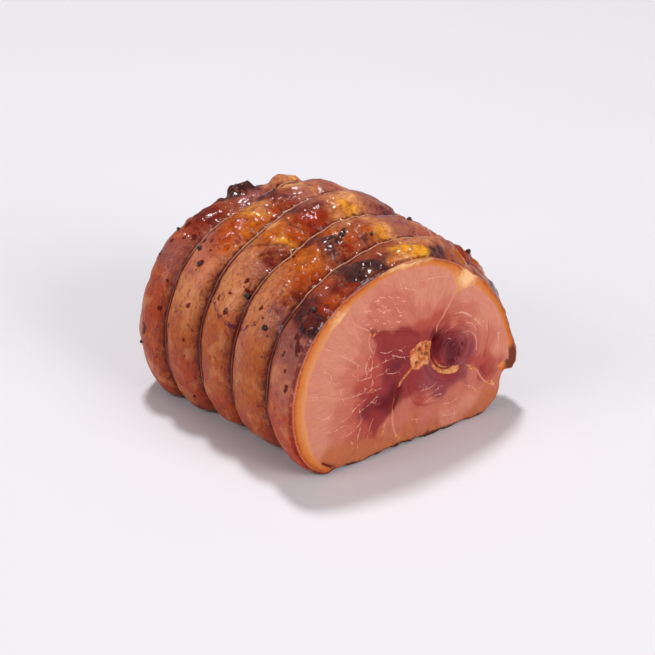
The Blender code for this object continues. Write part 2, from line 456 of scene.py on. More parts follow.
rind = {
    # the turn and back of each panel, by tone
    "panels": {
        "brick": [(205, 10), (186, 12)],
        "pink": [(172, 14), (164, 52), (57, 38), (145, 107), (60, 98)],
        "mauve": [
            (154, 7), (151, 20), (130, 16), (54, 18), (147, 32), (71, 46), (70, 32), (66, 38), (136, 66),
            (90, 81), (70, 66), (69, 76), (63, 66), (57, 72), (135, 112), (85, 94), (75, 94), (73, 104),
            (151, 132), (99, 124), (95, 121),
        ],
        "plum": [
            (146, 17), (138, 16), (112, 14), (115, 22), (97, 8), (73, 4), (66, 6), (16, 4), (111, 34),
            (108, 52), (106, 46), (91, 32), (100, 84), (60, 62), (34, 80), (97, 107), (93, 96), (104, 134),
            (90, 128), (40, 136),
        ],
        "scorch": [(143, 5), (115, 6), (106, 6), (109, 9), (-13, 5), (103, 40), (98, 138), (91, 137)],
        "red": [
            (137, 4), (120, 5), (40, 16), (103, 33), (34, 52), (28, 36), (105, 71), (100, 65), (94, 67),
            (97, 92), (32, 98), (120, 133), (52, 128),
        ],
        "deep": [
            (133, 12), (122, 11), (100, 10), (-2, 5), (-8, 14), (133, 30), (108, 30), (52, 52), (127, 64),
            (99, 76), (92, 74), (-10, 80), (104, 95), (100, 93), (101, 98), (99, 103), (62, 112),
            (128, 130), (-9, 134),
        ],
        "orange": [
            (131, 5), (127, 18), (131, 36), (126, 34), (115, 52), (98, 37), (18, 48), (110, 66), (24, 68),
            (131, 100), (123, 100), (106, 92), (26, 112), (16, 132),
        ],
        "rust": [
            (104, 15), (96, 17), (87, 20), (58, 4), (32, 4), (140, 33), (118, 30), (97, 30), (94, 46),
            (89, 47), (86, 31), (121, 65), (92, 62), (91, 101), (88, 104), (112, 130), (86, 120),
        ],
        "amber": [
            (94, 4), (48, 6), (24, 18), (126, 41), (122, 47), (118, 38), (100, 49), (86, 38), (42, 40),
            (120, 76), (112, 72), (107, 78), (52, 82), (40, 66), (117, 108), (116, 94), (46, 106),
            (30, 125),
        ],
        "pale": [(91, 2), (75, 34), (110, 84), (77, 72), (85, 107), (73, 120), (76, 133)],
        "gold": [(85, 11), (79, 6), (80, 33), (116, 67), (80, 66), (113, 99), (110, 103)],
        "fawn": [
            (78, 18), (72, 13), (62, 13), (92, 53), (83, 43), (79, 50), (131, 72), (86, 65), (85, 72),
            (81, 76), (74, 66), (107, 108), (108, 100), (83, 98), (79, 95), (80, 124), (68, 128),
        ],
        "rose": [
            (8, 17), (203, 42), (-9, 46), (205, 70), (193, 72), (2, 68), (205, 100), (190, 102), (-6, 106),
            (200, 130), (185, 130), (167, 130), (138, 134),
        ],
        "tan": [
            (186, 42), (170, 38), (137, 39), (8, 38), (180, 72), (165, 72), (14, 80), (175, 104), (12, 102),
            (4, 130),
        ],
        "sand": [(150, 50), (143, 42), (132, 49), (151, 66), (145, 82), (139, 72), (131, 81), (160, 104)],
    },
    "acrossTwine": 7.0,          # mm further that a panel counts past a loop of twine
    "panelBlend": (1.7, 5.0),    # mm over which glazed panels meet, and over which tan skin does
    "panelCrease": 0.6,          # mm deep between glazed panels
    "panelDome": 0.5,            # mm
    "endTurn": -18.3,            # the rind ends here on the right, proud of the lean
    "leftEndTurn": 226.0,        # and here on the left, under the joint
    "endWander": 3.2,            # mm up and down
    "grooveWidth": 1.7,          # mm, how sharply the twine cuts in
    "topGroove": 0.8,            # the grooves over the top are this shallow
    "pucker": 0.55,              # mm, the gathers beside the twine
    "lumps": 0.6,                # mm
    "glazeLumps": 0.5,           # mm, more on the glazed fat
    "valley": 1.0,               # mm, the broad dip to each side of the twine
    "blister": 0.42,             # mm, on the glazed fat
    "scorchRise": 0.48,          # mm
    "scorchRough": 0.45,         # mm
    "ragged": 0.7,               # mm, at the rim of the cut face
    # burnt spots and blisters: turn, back, half width
    "spots": [
        (155, 4, 2.0), (151, 8, 1.5), (144, 6, 1.8), (140, 11, 2.2), (139, 17, 1.5), (147, 13, 1.2),
        (160, 15, 1.0), (166, 9, 0.9), (172, 5, 1.1), (154, 77, 1.8), (170, 104, 1.2), (146, 60, 1.1),
        (158, 68, 1.0), (150, 70, 1.0), (163, 96, 0.9), (176, 110, 1.0), (184, 132, 1.8), (172, 122, 1.0),
        (148, 62, 1.3), (155, 36, 1.1), (141, 107, 0.9), (146, 100, 1.0), (98, 43, 1.6), (142, 66, 0.9),
        (134, 103, 0.9), (137, 108, 1.0), (132, 110, 1.2), (139, 100, 0.7), (136, 114, 0.8),
        (130, 128, 1.6), (134, 133, 1.4), (140, 127, 1.1), (144, 134, 0.9), (137, 122, 0.9),
        (127, 137, 1.4), (148, 124, 0.7), (149, 44, 0.7), (192, 60, 0.7), (166, 80, 0.6), (178, 96, 0.8),
        (24, 44, 1.3), (10, 72, 1.5), (2, 112, 1.4),
    ],
    "inkAt": (143, 62), "inkRing": 25.0,     # the inspector's ring of ink: its middle, and mm across half
    "mmPerDegree": 1.25,         # round the rind, for the creases
    # long creases cut into the fat: chains of (turn, back), then depth in mm
    "creases": [
        (((129, 84), (126, 76), (120, 66), (117, 61)), 1.3),
        (((134, 72), (127, 67), (119, 61)), 1.1),
        (((116, 31), (112, 41), (106, 56)), 1.3),
        (((106, 61), (108, 72), (105, 86)), 1.1),
        (((124, 2), (120, 12), (117, 25)), 1.0),
        (((91, 60), (87, 69), (90, 84)), 0.9),
        (((60, 31), (54, 44), (50, 57)), 1.0),
        (((40, 62), (34, 74), (36, 87)), 1.1),
        (((22, 31), (15, 45), (18, 57)), 1.0),
        (((30, 93), (22, 104), (24, 114)), 1.0),
    ],
    # flaps and lobes that stand up at the far end: turn, back, half round, half along, rise in mm
    "lobes": [(97, 138, 10, 7, 5.0), (73, 122, 12, 13, 4.6), (111, 143, 6, 5, 2.0), (42, 138, 9, 7, 2.5),
              (-11, 44, 4, 9, 1.2), (-11, 78, 4, 9, 1.4)],
    "footLift": 2.2,             # mm, how far the crusted edge of the cut face stands off the board
}


def wrapTurn(turn):
    return (turn + 180.0) % 360.0 - 180.0


def nearestRow(back):
    return int(np.abs(rows - back).argmin())


# how far round and along a point of the grid is from a place on the rind, in mm
def fromPlace(turn, back):
    perDegree = math.radians(1.0) * reach
    return wrapTurn(turnGrid - turn) * perDegree, backGrid - back


# shares each point of the rind between its nearest panels
def blendPanels(base):
    panels = listed(rind["panels"])
    tones = np.array([[*shade(*rindTones[tone][0]), *rindTones[tone][1:]] for *_, tone in panels])
    bulge = np.searchsorted(loopBacks, backGrid)
    warpRound, warpAlong = 3.0 * fuzz(base, 9.0, 21.0, 2), 2.0 * fuzz(base, 9.0, 22.0, 2)
    distances = []
    for turn, back, _ in panels:
        around, along = fromPlace(turn, back)
        acrossTwine = rind["acrossTwine"] * (bulge != np.searchsorted(loopBacks, back))
        distances.append(np.hypot(around + warpRound, along + warpAlong) + acrossTwine)
    distances = np.array(distances)
    order = np.argsort(distances, axis=0)[:2]
    nearest, second = np.take_along_axis(distances, order, axis=0)
    glossy = tones[:, 3][order].min(axis=0)
    glazedBlend, skinBlend = rind["panelBlend"]
    blend = skinBlend + (glazedBlend - skinBlend) * smooth(0.2, 0.6, glossy)
    weights = np.exp(-(distances - nearest) / blend)
    weights /= weights.sum(axis=0)
    mixed = np.einsum("kji,kc->jic", weights, tones)
    return mixed, (second - nearest) / 2, smooth(0.25, 0.6, glossy)


def creaseDepth():
    depth = np.zeros_like(turnGrid)
    for chain, deep in rind["creases"]:
        turn, back = chain[len(chain) // 2]
        flat = np.stack([side.ravel() for side in fromPlace(turn, back)], axis=1)
        line = smoothLine([((t - turn) * rind["mmPerDegree"], b - back) for t, b in chain], 1.5)
        gap, share = chainDistance(flat, line)
        fade = np.sin(np.clip(share, 0.02, 0.98) * math.pi) ** 0.5
        depth = np.maximum(depth, (deep * fade * np.exp(-gap / 1.0)).reshape(turnGrid.shape))
    return depth


def shapeRind():
    base = placeOnCore(reach)
    mixed, edge, glossyEdge = blendPanels(base)
    gloss, scorch, blister = np.moveaxis(mixed[..., 3:], 2, 0)
    glazed = smooth(0.2, 0.6, gloss)

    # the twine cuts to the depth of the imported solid's groove, less over the top
    cut = np.zeros_like(reach)
    grooved = smoothRound(cadReach, 2)
    for gap, back in zip(loopGaps, loopBacks):
        row = nearestRow(back)
        need = np.maximum(0.0, reach[row] - grooved[row])
        cut = np.maximum(cut, need * np.exp(-np.abs(gap) / rind["grooveWidth"]))
    overTop = 1.0 - (1.0 - rind["topGroove"]) * smooth(50, 75, turnGrid) * smooth(135, 112, turnGrid)
    panelCrease = rind["panelCrease"] * glossyEdge * np.exp(-edge / 0.9)
    panelCrease = panelCrease * smooth(-0.6, 0.5, fuzz(base, 11.0, 9.0))
    creases = np.maximum(creaseDepth() * (0.3 + 0.7 * glazed), panelCrease)

    # small gathers stand beside the twine, and blisters and beads on the glazed fat
    around = np.radians(turnGrid) * 75.0
    chart = [around, np.zeros_like(around), nearestLoop * 9.0 + np.sign(twineGap) * 4.0]
    gathers = fuzz(np.stack(chart, axis=2) + 0.15 * base, 2.8, 3.0, 2) * np.exp(-np.abs(twineGap) / 5.0)
    gathers = gathers * smooth(0.3, 2.5, np.abs(twineGap)) * (0.45 + 0.55 * glazed)
    blisters = 0.35 - np.abs(fuzz(base * (1.0, 0.6, 1.0), 2.8, 6.0, 2))
    beads = fuzz(base, 7.5, 14.0, 2) + 0.9 * fuzz(base, 3.0, 15.0, 2)
    relief = (rind["pucker"] * gathers - cut * overTop - creases
              + rind["lumps"] * (fuzz(base, 15.0, 4.0) + 0.45 * fuzz(base, 6.0, 5.0))
              + rind["glazeLumps"] * smooth(0.25, 0.7, gloss) * beads
              - rind["valley"] * bell(twineGap, 4.5)
              + rind["panelDome"] * glossyEdge * (smooth(0.0, 4.5, edge) - 0.5)
              + rind["blister"] * blisters * (0.15 + blister)
              + scorch * (rind["scorchRise"] + rind["scorchRough"] * fuzz(base, 2.2, 7.0, 2)))
    for turn, back, halfRound, halfAlong, rise in rind["lobes"]:
        around, along = fromPlace(turn, back)
        off = np.hypot(around / halfRound, along / halfAlong) + 0.16 * fuzz(base, 6.0, 8.0, 2)
        relief = relief + rise * smooth(1.15, 0.45, off)

    # quiet where it rests and where it meets the cut face, whose rim is ragged
    quiet = 0.25 + 0.75 * smooth(0.0, 2.5 + 7.0 * smooth(85.0, 65.0, turnGrid), backGrid)
    rim = rind["ragged"] * (1.0 - 0.6 * smooth(80.0, 60.0, turnGrid)) * smooth(0.2, 0.7, gloss)
    rim = rim * (fuzz(base, 5.0, 12.0, 2) - 0.2) * np.exp(-backGrid / 2.5)
    relief = (relief * quiet + rim) * smooth(1.0, 7.0, base[..., 2])
    points = base + gridNormals(base) * relief[..., None]

    # the crusted foot of the cut face stands off the board, and the end of the rind wanders
    foot = np.exp(-backGrid / 3.5) * smooth(5.0, 2.0, base[..., 2])
    foot = foot * smooth(-0.5, 0.9, fuzz(base * (1, 0.3, 0), 9.0, 13.0, 2))
    end = bell(turnGrid - rind["endTurn"], 9.0) * smooth(9.0, 22.0, backGrid)
    end = end * fuzz(backGrid[..., None] * (0.0, 1.0, 0.0), 13.0, 31.0, 2)
    points[..., 2] += rind["footLift"] * foot + rind["endWander"] * end
    points[..., 2] = np.maximum(points[..., 2], jointLow[2])
    return points, mixed, creases


skin, panelMix, creases = shapeRind()
skinNormals = gridNormals(skin)
print("rind shaped")


# mm outside the ring of ink
def inkDistance():
    return np.hypot(*fromPlace(*rind["inkAt"])) - rind["inkRing"]


def spotMask():
    mask = np.zeros_like(turnGrid)
    wobble = 0.9 * fuzz(skin, 2.4, 17.0, 2)
    for turn, back, half in rind["spots"]:
        around, along = fromPlace(turn, back)
        mask = np.maximum(mask, smooth(1.5, 0.3, np.hypot(around * 0.7, along) / half + wobble))
    return mask


# the cut face: its muscles, the seams and cracks between them, and its fat
cutFace = {
    "step": 0.82,            # mm between points
    # fat under the rind: turn and depth in mm, from the left foot over the top to the right
    "fatDepth": [
        (-90, 0.5), (-35, 0.8), (-19, 0.8), (-17.5, 6.5), (-9, 5.5), (-4, 3.4), (0, 3.4), (25, 4.5),
        (38, 6.5), (44, 14.0), (52, 9.0), (60, 5.0), (80, 4.6), (110, 4.6), (124, 5.0), (131, 8.0),
        (150, 8.2), (180, 8.6), (200, 8.2), (212, 6.0), (222, 1.5), (235, 0.5), (270, 0.5),
    ],
    # pale seams between the muscles: half width, depth, corners
    "seams": [
        (0.45, 0.35, [(-39, 98), (-37.5, 92), (-35.5, 87), (-32, 83.5), (-28, 81), (-24, 78.5)]),
        (0.55, 0.35, [(39, 90), (36, 85), (32, 79), (27, 73), (23, 68), (21, 64)]),
        (0.6, 0.3, [(-8, 25), (-8, 19), (-7, 13), (-5, 8), (-3, 5)]),
        (0.5, 0.3, [(44, 36), (48, 33), (52, 30), (55, 25), (59, 20), (64, 17)]),
        (0.35, 0.2, [(-24, 78.5), (-25, 72), (-23, 66), (-21, 64)]),
        (0.6, 0.15, [(-37, 99.5), (-30, 103.5), (-20, 107), (-10, 108.6), (0, 109.2), (10, 109),
                     (20, 106.5), (30, 102), (37, 97.5)]),
    ],
    # dark cracks where muscles have parted
    "cracks": [
        (0.08, 0.7, [(-24, 78.5), (-18, 75.4), (-13, 74.4), (-8, 73)]),
        (0.05, 0.5, [(-8, 73), (-2, 71.3), (4, 69.2), (8, 66)]),
        (1.5, 1.7, [(-3, 38), (-4.6, 34), (-5.3, 30), (-7.2, 25)]),
        (0.1, 0.5, [(3, 42), (2.3, 36), (3.8, 30), (7, 24.5), (12, 21), (19, 19.5), (27, 20)]),
        (0.06, 0.4, [(59.5, 59), (60.3, 50), (58.4, 42), (56.5, 36)]),
        (0.9, 2.0, [(21, 63), (19.5, 57), (19.4, 50), (20.5, 45), (23, 41.5)]),
        (0.5, 1.2, [(20.5, 45), (25, 40.3), (30, 38.2), (34, 38.4)]),
        (0.15, 0.6, [(54, 33), (56, 28), (60, 23)]),
        (0.6, 1.5, [(39.8, 47.5), (39.6, 44), (37.5, 40.5)]),
        (0.5, 1.3, [(41.2, 50.5), (42.2, 48.8), (41.8, 47)]),
        (0.5, 1.2, [(35.5, 43.5), (36.2, 41.5), (35.8, 40)]),
        (0.2, 0.8, [(32.5, 50.5), (35, 51), (37.5, 52.5)]),
        (0.2, 0.8, [(30, 60.5), (34, 58.5), (39, 59)]),
        (0.8, 1.2, [(-57, 9), (-50, 4), (-46, 2)]),
    ],
    # bright fat inside the lean: half width, rise, corners
    "fatRidges": [
        (0.8, 0.4, [(5.5, 50), (3, 45.8), (-1, 43.4), (-3, 41.6), (-5, 38)]),
        (0.3, 0.3, [(-5, 38), (-7.4, 32), (-8.4, 26), (-9.2, 20)]),
        (0.3, 0.2, [(-26, 43.6), (-23, 43.2), (-20.2, 41.5)]),
        (2.0, 1.1, [(19.3, 47.5), (21, 43.5), (25, 39.4), (30, 37), (34.5, 36.4), (38, 37.6)]),
        (1.0, 0.4, [(46, 32.5), (48.5, 32.5), (50, 30.5)]),
        (1.1, 0.4, [(60, 19), (63, 18.5), (65, 16)]),
        (1.2, 0.4, [(-6, 8), (-4.5, 6.5), (-3, 6.5)]),
        (0.7, 0.2, [(-13.5, 19), (-15, 15.5), (-16.5, 12)]),
        (0.4, 0.3, [(-24.5, 77), (-23, 75), (-20, 76)]),
    ],
    # the muscles: how much further off, in mm, a tone counts across their edge, then their outline;
    # what is in none of them is the large muscle on the left, and outerGap is its own
    "outerGap": 2.5,
    "muscles": [
        (6.0, [(-39, 98), (-36, 88), (-30, 82), (-24, 78.5), (-8, 73), (4, 69.5), (8, 66), (9, 60),
               (19, 58), (21, 64), (27, 73), (36, 85), (39, 91), (30, 103), (0, 110), (-30, 105)]),
        (4.0, [(-24, 78.5), (-8, 73), (4, 69.5), (8, 66), (9, 60), (5, 53), (0, 45), (-8, 43.5), (-14, 45),
               (-19, 50), (-18, 56), (-22, 62), (-21, 70)]),
        (3.0, [(19.5, 58), (20, 64), (26, 71), (36, 74), (48, 70), (56, 60), (58, 48), (55, 38), (48, 35),
               (42, 37.5), (37, 37.5), (30, 38.5), (24, 41), (20, 46), (19, 52)]),
        (5.0, [(3, 46), (10, 46), (16, 46), (20, 44), (25, 38.5), (32, 36), (42, 37), (48, 32), (54, 25),
               (64, 16), (68, 4), (40, -2), (0, -2), (-8, 8), (-8, 24), (-5, 34), (-2, 42)]),
        (3.0, [(48, 35), (55, 38), (58, 48), (56, 60), (48, 70), (36, 74), (27, 73), (36, 85), (39, 91),
               (52, 92), (90, 60), (90, 10), (68, 4), (64, 16), (54, 25), (48, 32)]),
        (1.5, [(-4, 38), (-10, 44), (-20, 46), (-26, 40), (-28, 28), (-30, 16), (-20, 12), (-9, 24)]),
    ],
    # soft tones of the lean: across and up
    "tones": {
        "pale": [
            (10, 95), (20, 88), (-30, 95), (30, 93), (14, 102), (-8, 103), (-46, 66), (-50, 50), (-56, 35),
            (-35, 70), (-60, 20), (-60, 62), (-45, 80), (-60, 48), (30, 10), (45, 12), (50, 61), (66, 40),
            (61, 63), (69, 55), (50, 80), (60, 75),
        ],
        "rose": [
            (0, 86), (-15, 92), (12, 76), (4, 79), (-21, 85), (-12, 81), (24, 80), (-45, 25), (-40, 50),
            (-28, 70), (-32, 60), (-38, 38), (-46, 38), (-34, 26), (-10, 19), (15, 12), (-2, 17), (4, 24),
            (42, 61), (47, 56), (49, 48), (34, 68), (42, 66.5), (54, 53), (55, 45), (60, 50), (66, 22),
            (47, 26), (20, 19), (34, 20),
        ],
        "middle": [
            (12, 69), (19, 71), (-30, 45), (-25, 60), (-22, 52), (-27, 20), (-23, 46), (-33, 24), (-32, 34),
            (36, 63), (26, 66), (51, 40), (56, 37), (60, 30), (56, 38), (10, 24),
        ],
        "wine": [
            (15, 63), (-20, 73), (-9, 69), (-15, 59), (-3, 61), (-18, 51), (3, 63), (-4, 46), (-21, 24),
            (-21, 41), (-17, 20), (-29.5, 41.6), (-14, 41), (36, 58), (26, 43), (30, 64.5), (58, 31),
            (30, 34), (8, 41), (6, 32),
        ],
        "maroon": [
            (-9, 55), (-13, 52), (-12, 46), (-2, 52), (-18, 35), (-10, 38), (-27, 30), (-12, 25), (-25, 26),
            (38, 53), (25, 49), (31, 60),
        ],
        "violet": [(-8, 49.5), (30, 52), (28, 55), (36, 45), (31, 45)],
        "gold": [(-40, 12), (-52, 12), (-30, 12), (-15, 8), (5, 10), (61, 9), (20, 3), (50, 4), (-35, 4)],
        "dark": [(-14, 30), (-8.5, 33), (34, 50), (22.5, 54), (22, 59), (26, 60)],
        "purple": [
            (40, 56), (44, 50), (44, 44), (40, 41), (20, 34), (12, 32), (25, 28), (36, 29), (16, 42),
        ],
    },
    "toneBlend": 2.0,        # mm
    # the piece of fat and gristle in the middle
    "gristle": {"at": (11, 53.3), "half": (8.2, 7.6), "rise": 0.6, "pitDepth": 1.1, "pits": [
        (9.0, 57, 1.5), (14, 53, 1.6), (7.5, 49.5, 1.4), (14, 57.5, 1.0), (11, 54, 1.1), (16, 48.5, 1.2),
    ]},
    # the ringed muscle on the right: how deep it dips, its ridges, and the painted highlight arcs on it
    "whorl": {"at": (34, 50), "dip": 1.6, "ridge": 0.55, "apart": 4.6, "lights": [
        (0.6, [(34, 71), (40, 69.7), (46, 65.6), (51, 61), (53.5, 56.5)]),
        (0.3, [(40, 57.5), (46, 56), (49.5, 51), (50.6, 44), (50.4, 37)]),
        (0.25, [(27, 61), (31, 62.6), (36, 62.4)]), (0.2, [(52.5, 63.5), (57, 57), (59, 51)]),
        (0.25, [(43, 62.5), (48, 60), (51.5, 54)]), (0.2, [(27, 57.2), (31, 56.4), (33, 54.8)]),
    ]},
    # palest fat: across, up, half sizes and how pale; less than 0 is darkened by the heat; the long thin
    # band along the top edge is a painted highlight on the fat
    "paleFatAndHighlight": [(46, 93, 9, 6, 1.0), (42, 88, 4, 4, 0.6), (-44, 92, 8, 6, 0.6), (4, 111, 26, 2.5, 0.9),
             (31, 37, 7, 2, 0.5), (66, 17, 3, 3, 0.7), (78, 28, 5, 9, -1.0)],
    "dome": 0.75,            # mm, how far each muscle swells
    "lumps": 0.4,            # mm
    "fine": 0.1,             # mm
    "fatRise": 0.35,         # mm, the fat under the rind
    # short pale flecks, scattered over an area of the top muscle and kept to an oval in it
    "flecks": {"count": 64, "across": (-31, 0), "up": (75, 97), "at": (-16, 86), "half": (16.12, 10.95)},
    "sideBranches": 0.75,    # the share of the veins' stretches that branch
    "veins": [
        [(-23, 66), (-26, 62), (-28, 58), (-27, 53)],
        [(-39, 59), (-35, 55), (-32, 51.5), (-25, 51), (-17, 50.5), (-11, 52)], [(-33, 55.5), (-34, 52)],
        [(-28, 58), (-24, 56), (-18, 57)],
        [(-50, 47), (-43, 44), (-37, 43), (-29, 43), (-22, 41.5), (-16, 43)],
        [(-29, 43), (-27, 45), (-22, 46)], [(-40, 34), (-34, 35.5), (-30, 37.5), (-25, 39)],
        [(-47, 30), (-40, 31), (-34, 35.5)], [(-52, 58), (-46, 52), (-43, 44)],
        [(-10, 60), (-4, 56.5), (2, 55)], [(-14, 50), (-8, 48), (-3, 49)], [(-6, 62), (-2, 59)],
        [(-31, 23), (-33, 16), (-33, 9)], [(10, 31), (17, 30.5), (23, 32)], [(12, 27), (20, 27), (27, 29)],
        [(9, 34), (14, 34)], [(6, 99), (14, 98), (22, 97), (30, 95)], [(56, 74), (62, 70), (66, 69)],
        [(-62, 40), (-56, 36), (-50, 37)], [(-58, 66), (-52, 62), (-50, 57)], [(4, 15), (12, 13)],
        [(26, 17), (33, 16), (38, 18)], [(-20, 70), (-23, 60), (-24, 52), (-22, 46)],
        [(-64, 52), (-57, 50), (-50, 47)], [(-43, 44), (-41, 38)],
        [(-56, 28), (-50, 26), (-44, 27), (-38, 26)], [(-44, 20), (-38, 21), (-33, 24), (-29, 28)],
        [(-34, 30), (-29, 33), (-24, 35), (-19, 39)], [(-46, 72), (-41, 68), (-36, 64), (-31, 60)],
        [(-18, 64), (-13, 62), (-7, 63)], [(-17, 57), (-12, 57.5), (-8, 57)],
        [(-27, 13), (-25, 19), (-22, 25)], [(-38, 17), (-36, 12), (-38, 6)], [(42, 24), (48, 21), (52, 16)],
        [(14, 22), (21, 24), (28, 24)], [(64, 52), (67, 46), (66, 38)], [(44, 84), (50, 84), (57, 80)],
        [(-5, 98), (1, 96), (7, 93)], [(-56, 78), (-50, 75), (-46, 72)], [(-24, 36), (-20, 33), (-16, 33)],
        [(24, 12), (30, 9), (37, 9)],
    ],
}

# sRGB tones of the lean, and how wet each looks
leanTones = {
    "pale": ((207, 131, 108), 0.1), "rose": ((195, 111, 92), 0.15), "middle": ((175, 76, 63), 0.3),
    "wine": ((146, 50, 50), 0.4), "maroon": ((122, 36, 42), 0.5), "dark": ((94, 6, 14), 0.7),
    "violet": ((90, 24, 36), 0.6), "purple": ((142, 63, 68), 0.45), "gold": ((188, 107, 72), 0.2),
}


# marbling is drawn as short pale strokes: half width, corners; the ringed muscle's painted highlight arcs
# join them
def marbling():
    rng = np.random.default_rng(5)
    strokes = []
    flecks = cutFace["flecks"]
    for _ in range(flecks["count"]):
        across, up = rng.uniform(*flecks["across"]), rng.uniform(*flecks["up"])
        if np.hypot(*((np.array([across, up]) - flecks["at"]) / flecks["half"])) > 1.0:
            continue
        length, slant = rng.uniform(1.6, 4.2), math.radians(-24 + rng.normal(0, 11))
        bend = rng.normal(0, 0.35)
        tip = length / 2 * np.array([math.cos(slant), math.sin(slant)])
        middle = np.array([across, up])
        strokes.append((rng.uniform(0.12, 0.3), [middle - tip, middle + (0, bend), middle + tip]))
    for vein in cutFace["veins"]:
        strokes.append((0.2, vein))
        for a, b in zip(vein, vein[1:]):     # small side branches
            if rng.random() < cutFace["sideBranches"]:
                middle = np.array(a) * 0.5 + np.array(b) * 0.5
                turn = math.atan2(b[1] - a[1], b[0] - a[0]) + rng.choice((-1, 1)) * rng.uniform(0.6, 1.3)
                length = rng.uniform(1.5, 4.5)
                tip = middle + length * np.array([math.cos(turn), math.sin(turn)])
                strokes.append((0.11, [middle, middle * 0.5 + tip * 0.5 + rng.normal(0, 0.3, 2), tip]))
    return strokes + cutFace["whorl"]["lights"]


# points of a triangle lattice inside an outline, kept clear of the strokes
def latticeInside(rim, step, strokePoints):
    low, high = rim.min(axis=0), rim.max(axis=0)
    found = []
    rng = np.random.default_rng(3)
    rowGap = step * 0.866                    # rows of equal triangles
    for j in range(int((high[1] - low[1]) / rowGap)):
        across = low[0] + (np.arange(int((high[0] - low[0]) / step)) + 0.5 * (j % 2)) * step
        found.append(np.stack([across, np.full(len(across), low[1] + (j + 0.5) * rowGap)], axis=1))
    found = np.concatenate(found)
    found = found + rng.uniform(-0.12, 0.12, found.shape) * step
    found = found[insideOutline(found, rim)]
    found = found[chainDistance(found, closedRing(rim))[0] > 0.6 * step]
    clear = np.ones(len(found), bool)
    for start in range(0, len(strokePoints), 200):
        part = strokePoints[start:start + 200]
        clear &= np.linalg.norm(found[:, None] - part[None], axis=2).min(axis=1) > 0.5 * step
    return found[clear]


# which points are inside an outline
def insideOutline(points, rim):
    inside = np.zeros(len(points), bool)
    for a, b in zip(rim, np.roll(rim, -1, axis=0)):
        crosses = (a[1] > points[:, 1]) != (b[1] > points[:, 1])
        with np.errstate(divide="ignore", invalid="ignore"):
            at = (b[0] - a[0]) * (points[:, 1] - a[1]) / (b[1] - a[1]) + a[0]
        inside ^= crosses & (points[:, 0] < at)
    return inside


# fills an outline with fine triangles whose edges follow the strokes
def fillOutline(rim, step, strokes):
    chains = [smoothLine(corners, step) for corners in strokes]
    edges = []
    count = len(rim)
    for chain in chains:
        edges += [(count + k, count + k + 1) for k in range(len(chain) - 1)]
        count += len(chain)
    points = np.concatenate([rim, *chains, latticeInside(rim, step, np.concatenate(chains))])
    outline = [list(range(len(rim)))]
    result = delaunay_2d_cdt([Vector(p) for p in points], edges, outline, 1, 1e-5, True)
    flat, faces = np.array([tuple(v) for v in result[0]]), np.array(result[2])
    faces = faces[insideOutline(flat[faces].mean(axis=1), rim)]
    rimOf = {k: source for k, sources in enumerate(result[3]) for source in sources if source < len(rim)}
    return flat, faces.tolist(), rimOf


# mm from the edge of the nearest stroke, mm from its middle, and how deep the strokes cut
def strokeField(flat, strokes, taper=0.15):
    field = np.full(len(flat), 99.0)
    away = np.full(len(flat), 99.0)
    depth = np.zeros(len(flat))
    for half, deep, corners in strokes:
        gap, share = chainDistance(flat, smoothLine(corners, 0.8))
        thin = np.clip(np.minimum(share, 1 - share) / taper, 0.0, 1.0) ** 0.5
        near = gap - half * thin
        field = np.minimum(field, near)
        away = np.minimum(away, gap)
        depth = np.maximum(depth, deep * thin * np.exp(-np.maximum(0.0, near) / 0.7))
    return field, away, depth


# which way the fibres run in each oval, given by its middle and half sizes: straight ones fan out
# from the point that follows, and ringed ones go round it
fibres = [
    ((10, 100), (34, 24), (12, 52), False),
    ((-12, 80), (20, 13), (12, 52), False),
    ((-48, 45), (26, 40), (-3, 42), False),
    ((-14, 28), (18, 22), (-3, 44), False),
    ((-8, 57), (15, 13), (30, 40), False),
    ((34, 50), (24, 25), (34, 50), True),
    ((63, 55), (16, 34), (34, 50), True),
    ((22, 30), (22, 14), (26, 58), True),
    ((24, 8), (36, 12), (10, 60), False),
]


def fibreField(flat):
    nearest = np.full(len(flat), 1e9)
    grain = np.zeros((len(flat), 3))
    for k, (at, half, start, ringed) in enumerate(fibres):
        off = np.hypot(*((flat - at) / half).T)
        turn = flat - start
        out, angle = np.hypot(*turn.T), np.arctan2(turn[:, 1], turn[:, 0])
        across, along = angle * 26.0, out
        if ringed:
            across, along = out, angle * 18.0
        mine = off < nearest
        nearest[mine] = off[mine]
        grain[mine] = np.stack([across, along, np.full(len(flat), k * 11.0)], axis=1)[mine]
    return grain


# the number of the muscle that each point is in, and 0 for the large one on the left
def muscleOf(points):
    muscle = np.zeros(len(points), int)
    for number, (_, outline) in enumerate(cutFace["muscles"]):
        muscle[insideOutline(points, np.array(outline, float))] = number + 1
    return muscle


# each point takes its tone from the places near it, most from those in its own muscle
def leanTint(flat, solid, grain):
    warp = np.stack([fuzz(solid, 8.0, 3.0, 2), fuzz(solid, 8.0, 9.0, 2)], axis=1) * 2.2
    streaks = fuzz(grain / (1.6, 14.0, 1.0), 1.0, 4.0, 2)[:, None]
    seeds = listed(cutFace["tones"])
    places = np.array([(across, up) for across, up, _ in seeds])
    toneOf = np.array([[*shade(*leanTones[tone][0]), leanTones[tone][1]] for *_, tone in seeds])
    seedMuscle = muscleOf(places)
    gaps = np.array([cutFace["outerGap"], *[gap for gap, _ in cutFace["muscles"]]])
    apart = np.linalg.norm((flat + warp)[:, None] - places[None], axis=2)
    tint = 0.0
    for nudge in ((0.8, 0.4), (-0.6, 0.8), (-0.4, -0.9), (0.3, -0.3)):     # softens the muscles' edges
        muscle = muscleOf(flat + warp * 0.8 + nudge)
        gap = np.minimum(gaps[muscle][:, None], gaps[seedMuscle][None])
        far = apart + gap * (muscle[:, None] != seedMuscle[None])
        weights = np.exp(-(far - far.min(axis=1, keepdims=True)) / cutFace["toneBlend"])
        tint = tint + 0.25 * (weights @ toneOf) / weights.sum(axis=1, keepdims=True)
    return tint * (1.0 + 0.03 * streaks)


